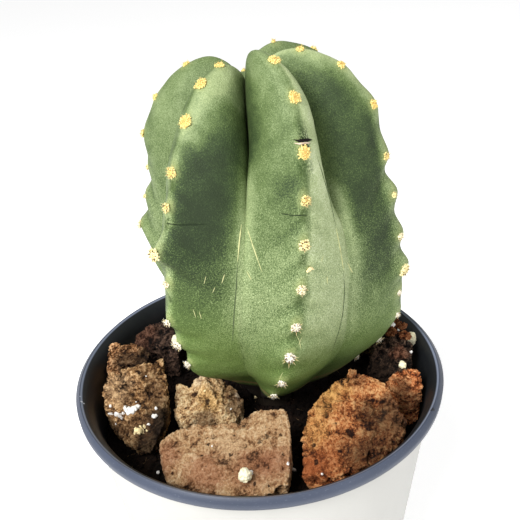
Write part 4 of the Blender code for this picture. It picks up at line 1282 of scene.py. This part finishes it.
crumbs = {
    "sink": 0.10, "shape": {"roughness": 1.5, "seed": 5},
    "spots": (  # x and y in the picture, radius in mm
        (118.5, 415, 0.9), (121.5, 417.5, 0.7), (123.5, 412.5, 0.8), (126.5, 410, 1.0), (130.5, 410.5, 1.1),
        (134, 408.5, 1.0), (137.5, 406.5, 0.8), (128.5, 413.5, 0.7), (132.5, 412.5, 0.6), (125, 408, 0.5),
        (139.5, 408.5, 0.4), (103, 387.5, 0.4), (99, 407.5, 0.5), (110.5, 406, 0.45), (111, 414, 0.6),
        (156, 408.5, 0.5), (155, 415.5, 0.7), (148.5, 424.5, 0.5), (159, 450, 0.5), (158.5, 472.5, 0.5),
        (288, 463.5, 0.5), (292.5, 469, 0.7), (250, 473, 0.8), (400, 320, 0.8), (405, 317.5, 0.7),
        (392, 325, 0.8), (212, 446, 0.3), (231, 409, 0.3), (322, 474, 0.3), (146, 376, 0.25),
        (136, 402, 0.25), (116, 424, 0.3), (398, 330, 0.4), (411, 352, 0.4),
    ),
    "cream": (
        (136, 430, 0.9), (139, 431.5, 1.1), (142.5, 430, 1.0), (145, 427, 0.8), (141, 427, 0.6),
        (147, 431, 0.4), (135, 433.5, 0.4), (256, 397, 0.5), (205, 391, 0.4), (309.3, 269.5, 0.6),
        (307.4, 271, 0.45), (311.2, 268.2, 0.45),
    ),
}


def puffCrumbs(nodes, wires):
    crumb = nodes.ball(1.0, 3)
    place = nodes.add("GeometryNodeInputPosition")
    crumb = nodes.move(crumb, nodes.wander(place, 0.9, wires["roughness"], 2.0))
    stretch = nodes.draw((0.7, 0.6, 0.5), (1.5, 1.2, 1.0), wires["seed"] + 1)
    made = nodes.copies(wires["Geometry"], crumb, nodes.spin(wires["seed"]), stretch * nodes.stored("radius"))
    return nodes.smooth(made)


def paintCrumbs(nodes, place):
    grit = nodes.noise(place, 0.0004, 3.0, 0.7)
    colour = nodes.blend(nodes.stored("cream"), rgb(246, 243, 238), rgb(240, 220, 168))
    colour = nodes.blend(nodes.fade(grit, 0.50, 0.32) * 0.45, colour, rgb(196, 176, 140))
    return {"Base Color": colour, "Normal": nodes.bump(grit, 0.00025, 0.6)}


def buildCrumbs(shapes):
    points, radii, creams = [], [], []
    for x, y, radius in [*crumbs["spots"], *crumbs["cream"]]:
        spot, normal = seenAt(x, y, shapes)
        if spot:
            points.append(spot + normal * radius * mm * crumbs["sink"])
            radii.append(radius * mm)
            creams.append(1.0 if (x, y, radius) in crumbs["cream"] else 0.0)
    obj = newObject("perliteCrumbs", points)
    setValues(obj, "radius", radii)
    setValues(obj, "cream", creams)
    finish = newFinish("perlite crumbs", paintCrumbs, Roughness=0.85, Specular_IOR_Level=0.25)
    runTree(obj, newTree("crumbs", crumbs["shape"], puffCrumbs), finish)
    finishPiece(obj, "perlite")
    print("crumbs", len(points))


# scars: the slit, the scratches and fine creases in the skin, and the dry lines along two furrows; the dark
# slit, crease and furrow strips are painted shade

scarStep = 1.5  # from point to point along a line in the picture
scars = {  # tone: colour, then each mark's half width in mm and its points in the picture
    # a dark strip painted as the shadow inside the slit
    "slit": (rgb(20, 15, 11), (
        (0.42, (293.5, 139.6), (299, 141.0), (305, 140.0), (312, 139.8)),
    )),
    "dry": (rgb(226, 204, 182), (
        (0.27, (294, 142.9), (299, 143.9), (305, 143.0), (310.5, 142.8)),
    )),
    "pale": (rgb(206, 206, 150), (
        (0.15, (247.5, 229), (252, 243), (257.5, 259), (262, 272)), (0.13, (246.6, 271), (251.5, 280)),
        (0.13, (224.6, 274), (221.7, 283.6)), (0.13, (347.3, 262.5), (352.7, 273)),
        (0.12, (327, 276), (327.4, 284.6)), (0.12, (323.5, 256), (320.6, 262.5)),
        (0.1, (206, 276), (204, 284)), (0.1, (215, 287), (212.5, 293)), (0.1, (193, 309), (196, 318)),
        (0.1, (199, 311), (201.5, 319)), (0.08, (283, 372), (279, 380)),
        (0.08, (296, 334), (299.5, 341), (301, 350)), (0.07, (302.5, 336), (298.5, 345)),
        (0.08, (293, 353), (297, 360), (300, 355)), (0.16, (241.5, 224), (239.5, 240), (237.5, 262)),
        (0.15, (336, 228), (340.5, 251), (343.5, 270)),
    )),
    # darker lines painted as shade in the bottoms of the furrows
    "furrow": (rgb(84, 98, 66), (
        (0.14, (237.5, 262), (236, 289), (234, 313), (232.5, 341)),
        (0.12, (317, 156), (330, 200), (336, 228)),
        (0.14, (343.5, 270), (344.5, 292), (342.5, 315), (339, 330), (332, 352)),
    )),
    # dark lines painted as shade in fine creases
    "crease": (rgb(38, 50, 30), (
        (0.16, (166, 223.5), (180, 225), (196, 224.5), (207, 224)),
        (0.13, (281, 213.5), (292, 215.5), (307, 215)),
    )),
}


def drawScars(nodes, wires):
    # a thin strip that tapers at both ends follows each line
    line = nodes.add("GeometryNodeMeshToCurve", None, {0: wires["Geometry"]})
    part = nodes.add("GeometryNodeSplineParameter")
    uneven = nodes.noise(nodes.add("GeometryNodeInputPosition"), 0.0015, 1.0) * 1.6
    thin = (1 - abs(part * 2 - 1) ** wires["taper"] * 0.85) * uneven
    ring = nodes.add("GeometryNodeCurvePrimitiveCircle", None, {"Resolution": 6, "Radius": 1.0})
    return nodes.smooth(nodes.add("GeometryNodeCurveToMesh", None, {
        0: line, 1: ring, "Scale": nodes.stored("width") * thin, "Fill Caps": True}))


def linePoints(corners):
    for start, end in zip(corners, corners[1:]):
        for t in np.linspace(0, 1, max(2, int(math.dist(start, end) / scarStep))):
            yield np.array(start) * (1 - t) + np.array(end) * t


def buildScars(shape):
    tree = newTree("scars", {"taper": 4.0}, drawScars)
    for tone, (colour, marks) in scars.items():
        points, edges, widths = [], [], []
        for width, *corners in marks:
            first = len(points)
            for x, y in linePoints(corners):
                spot, normal = seenAt(x, y, [shape])
                if spot:
                    points.append(spot + normal * width * mm * 0.15)
                    widths.append(width * mm)
            edges += [(k, k + 1) for k in range(first, len(points) - 1)]

        def paint(nodes, place, colour=colour):
            return {"Base Color": nodes.blend(nodes.noise(place, 0.0006), tinted(colour, 0.75), colour)}

        obj = newObject(tone + "Scars", points, edges=edges)
        setValues(obj, "width", widths)
        runTree(obj, tree, newFinish(tone + " scar", paint, Roughness=0.8, Specular_IOR_Level=0.2))
        finishPiece(obj, "cactus")
    print("scars")


stemShape = shapeOf(stemPiece)
buildScars(stemShape)
buildCrumbs([stemShape, *[shapeOf(obj) for obj in [*rocks, looseChips, soilBed]]])
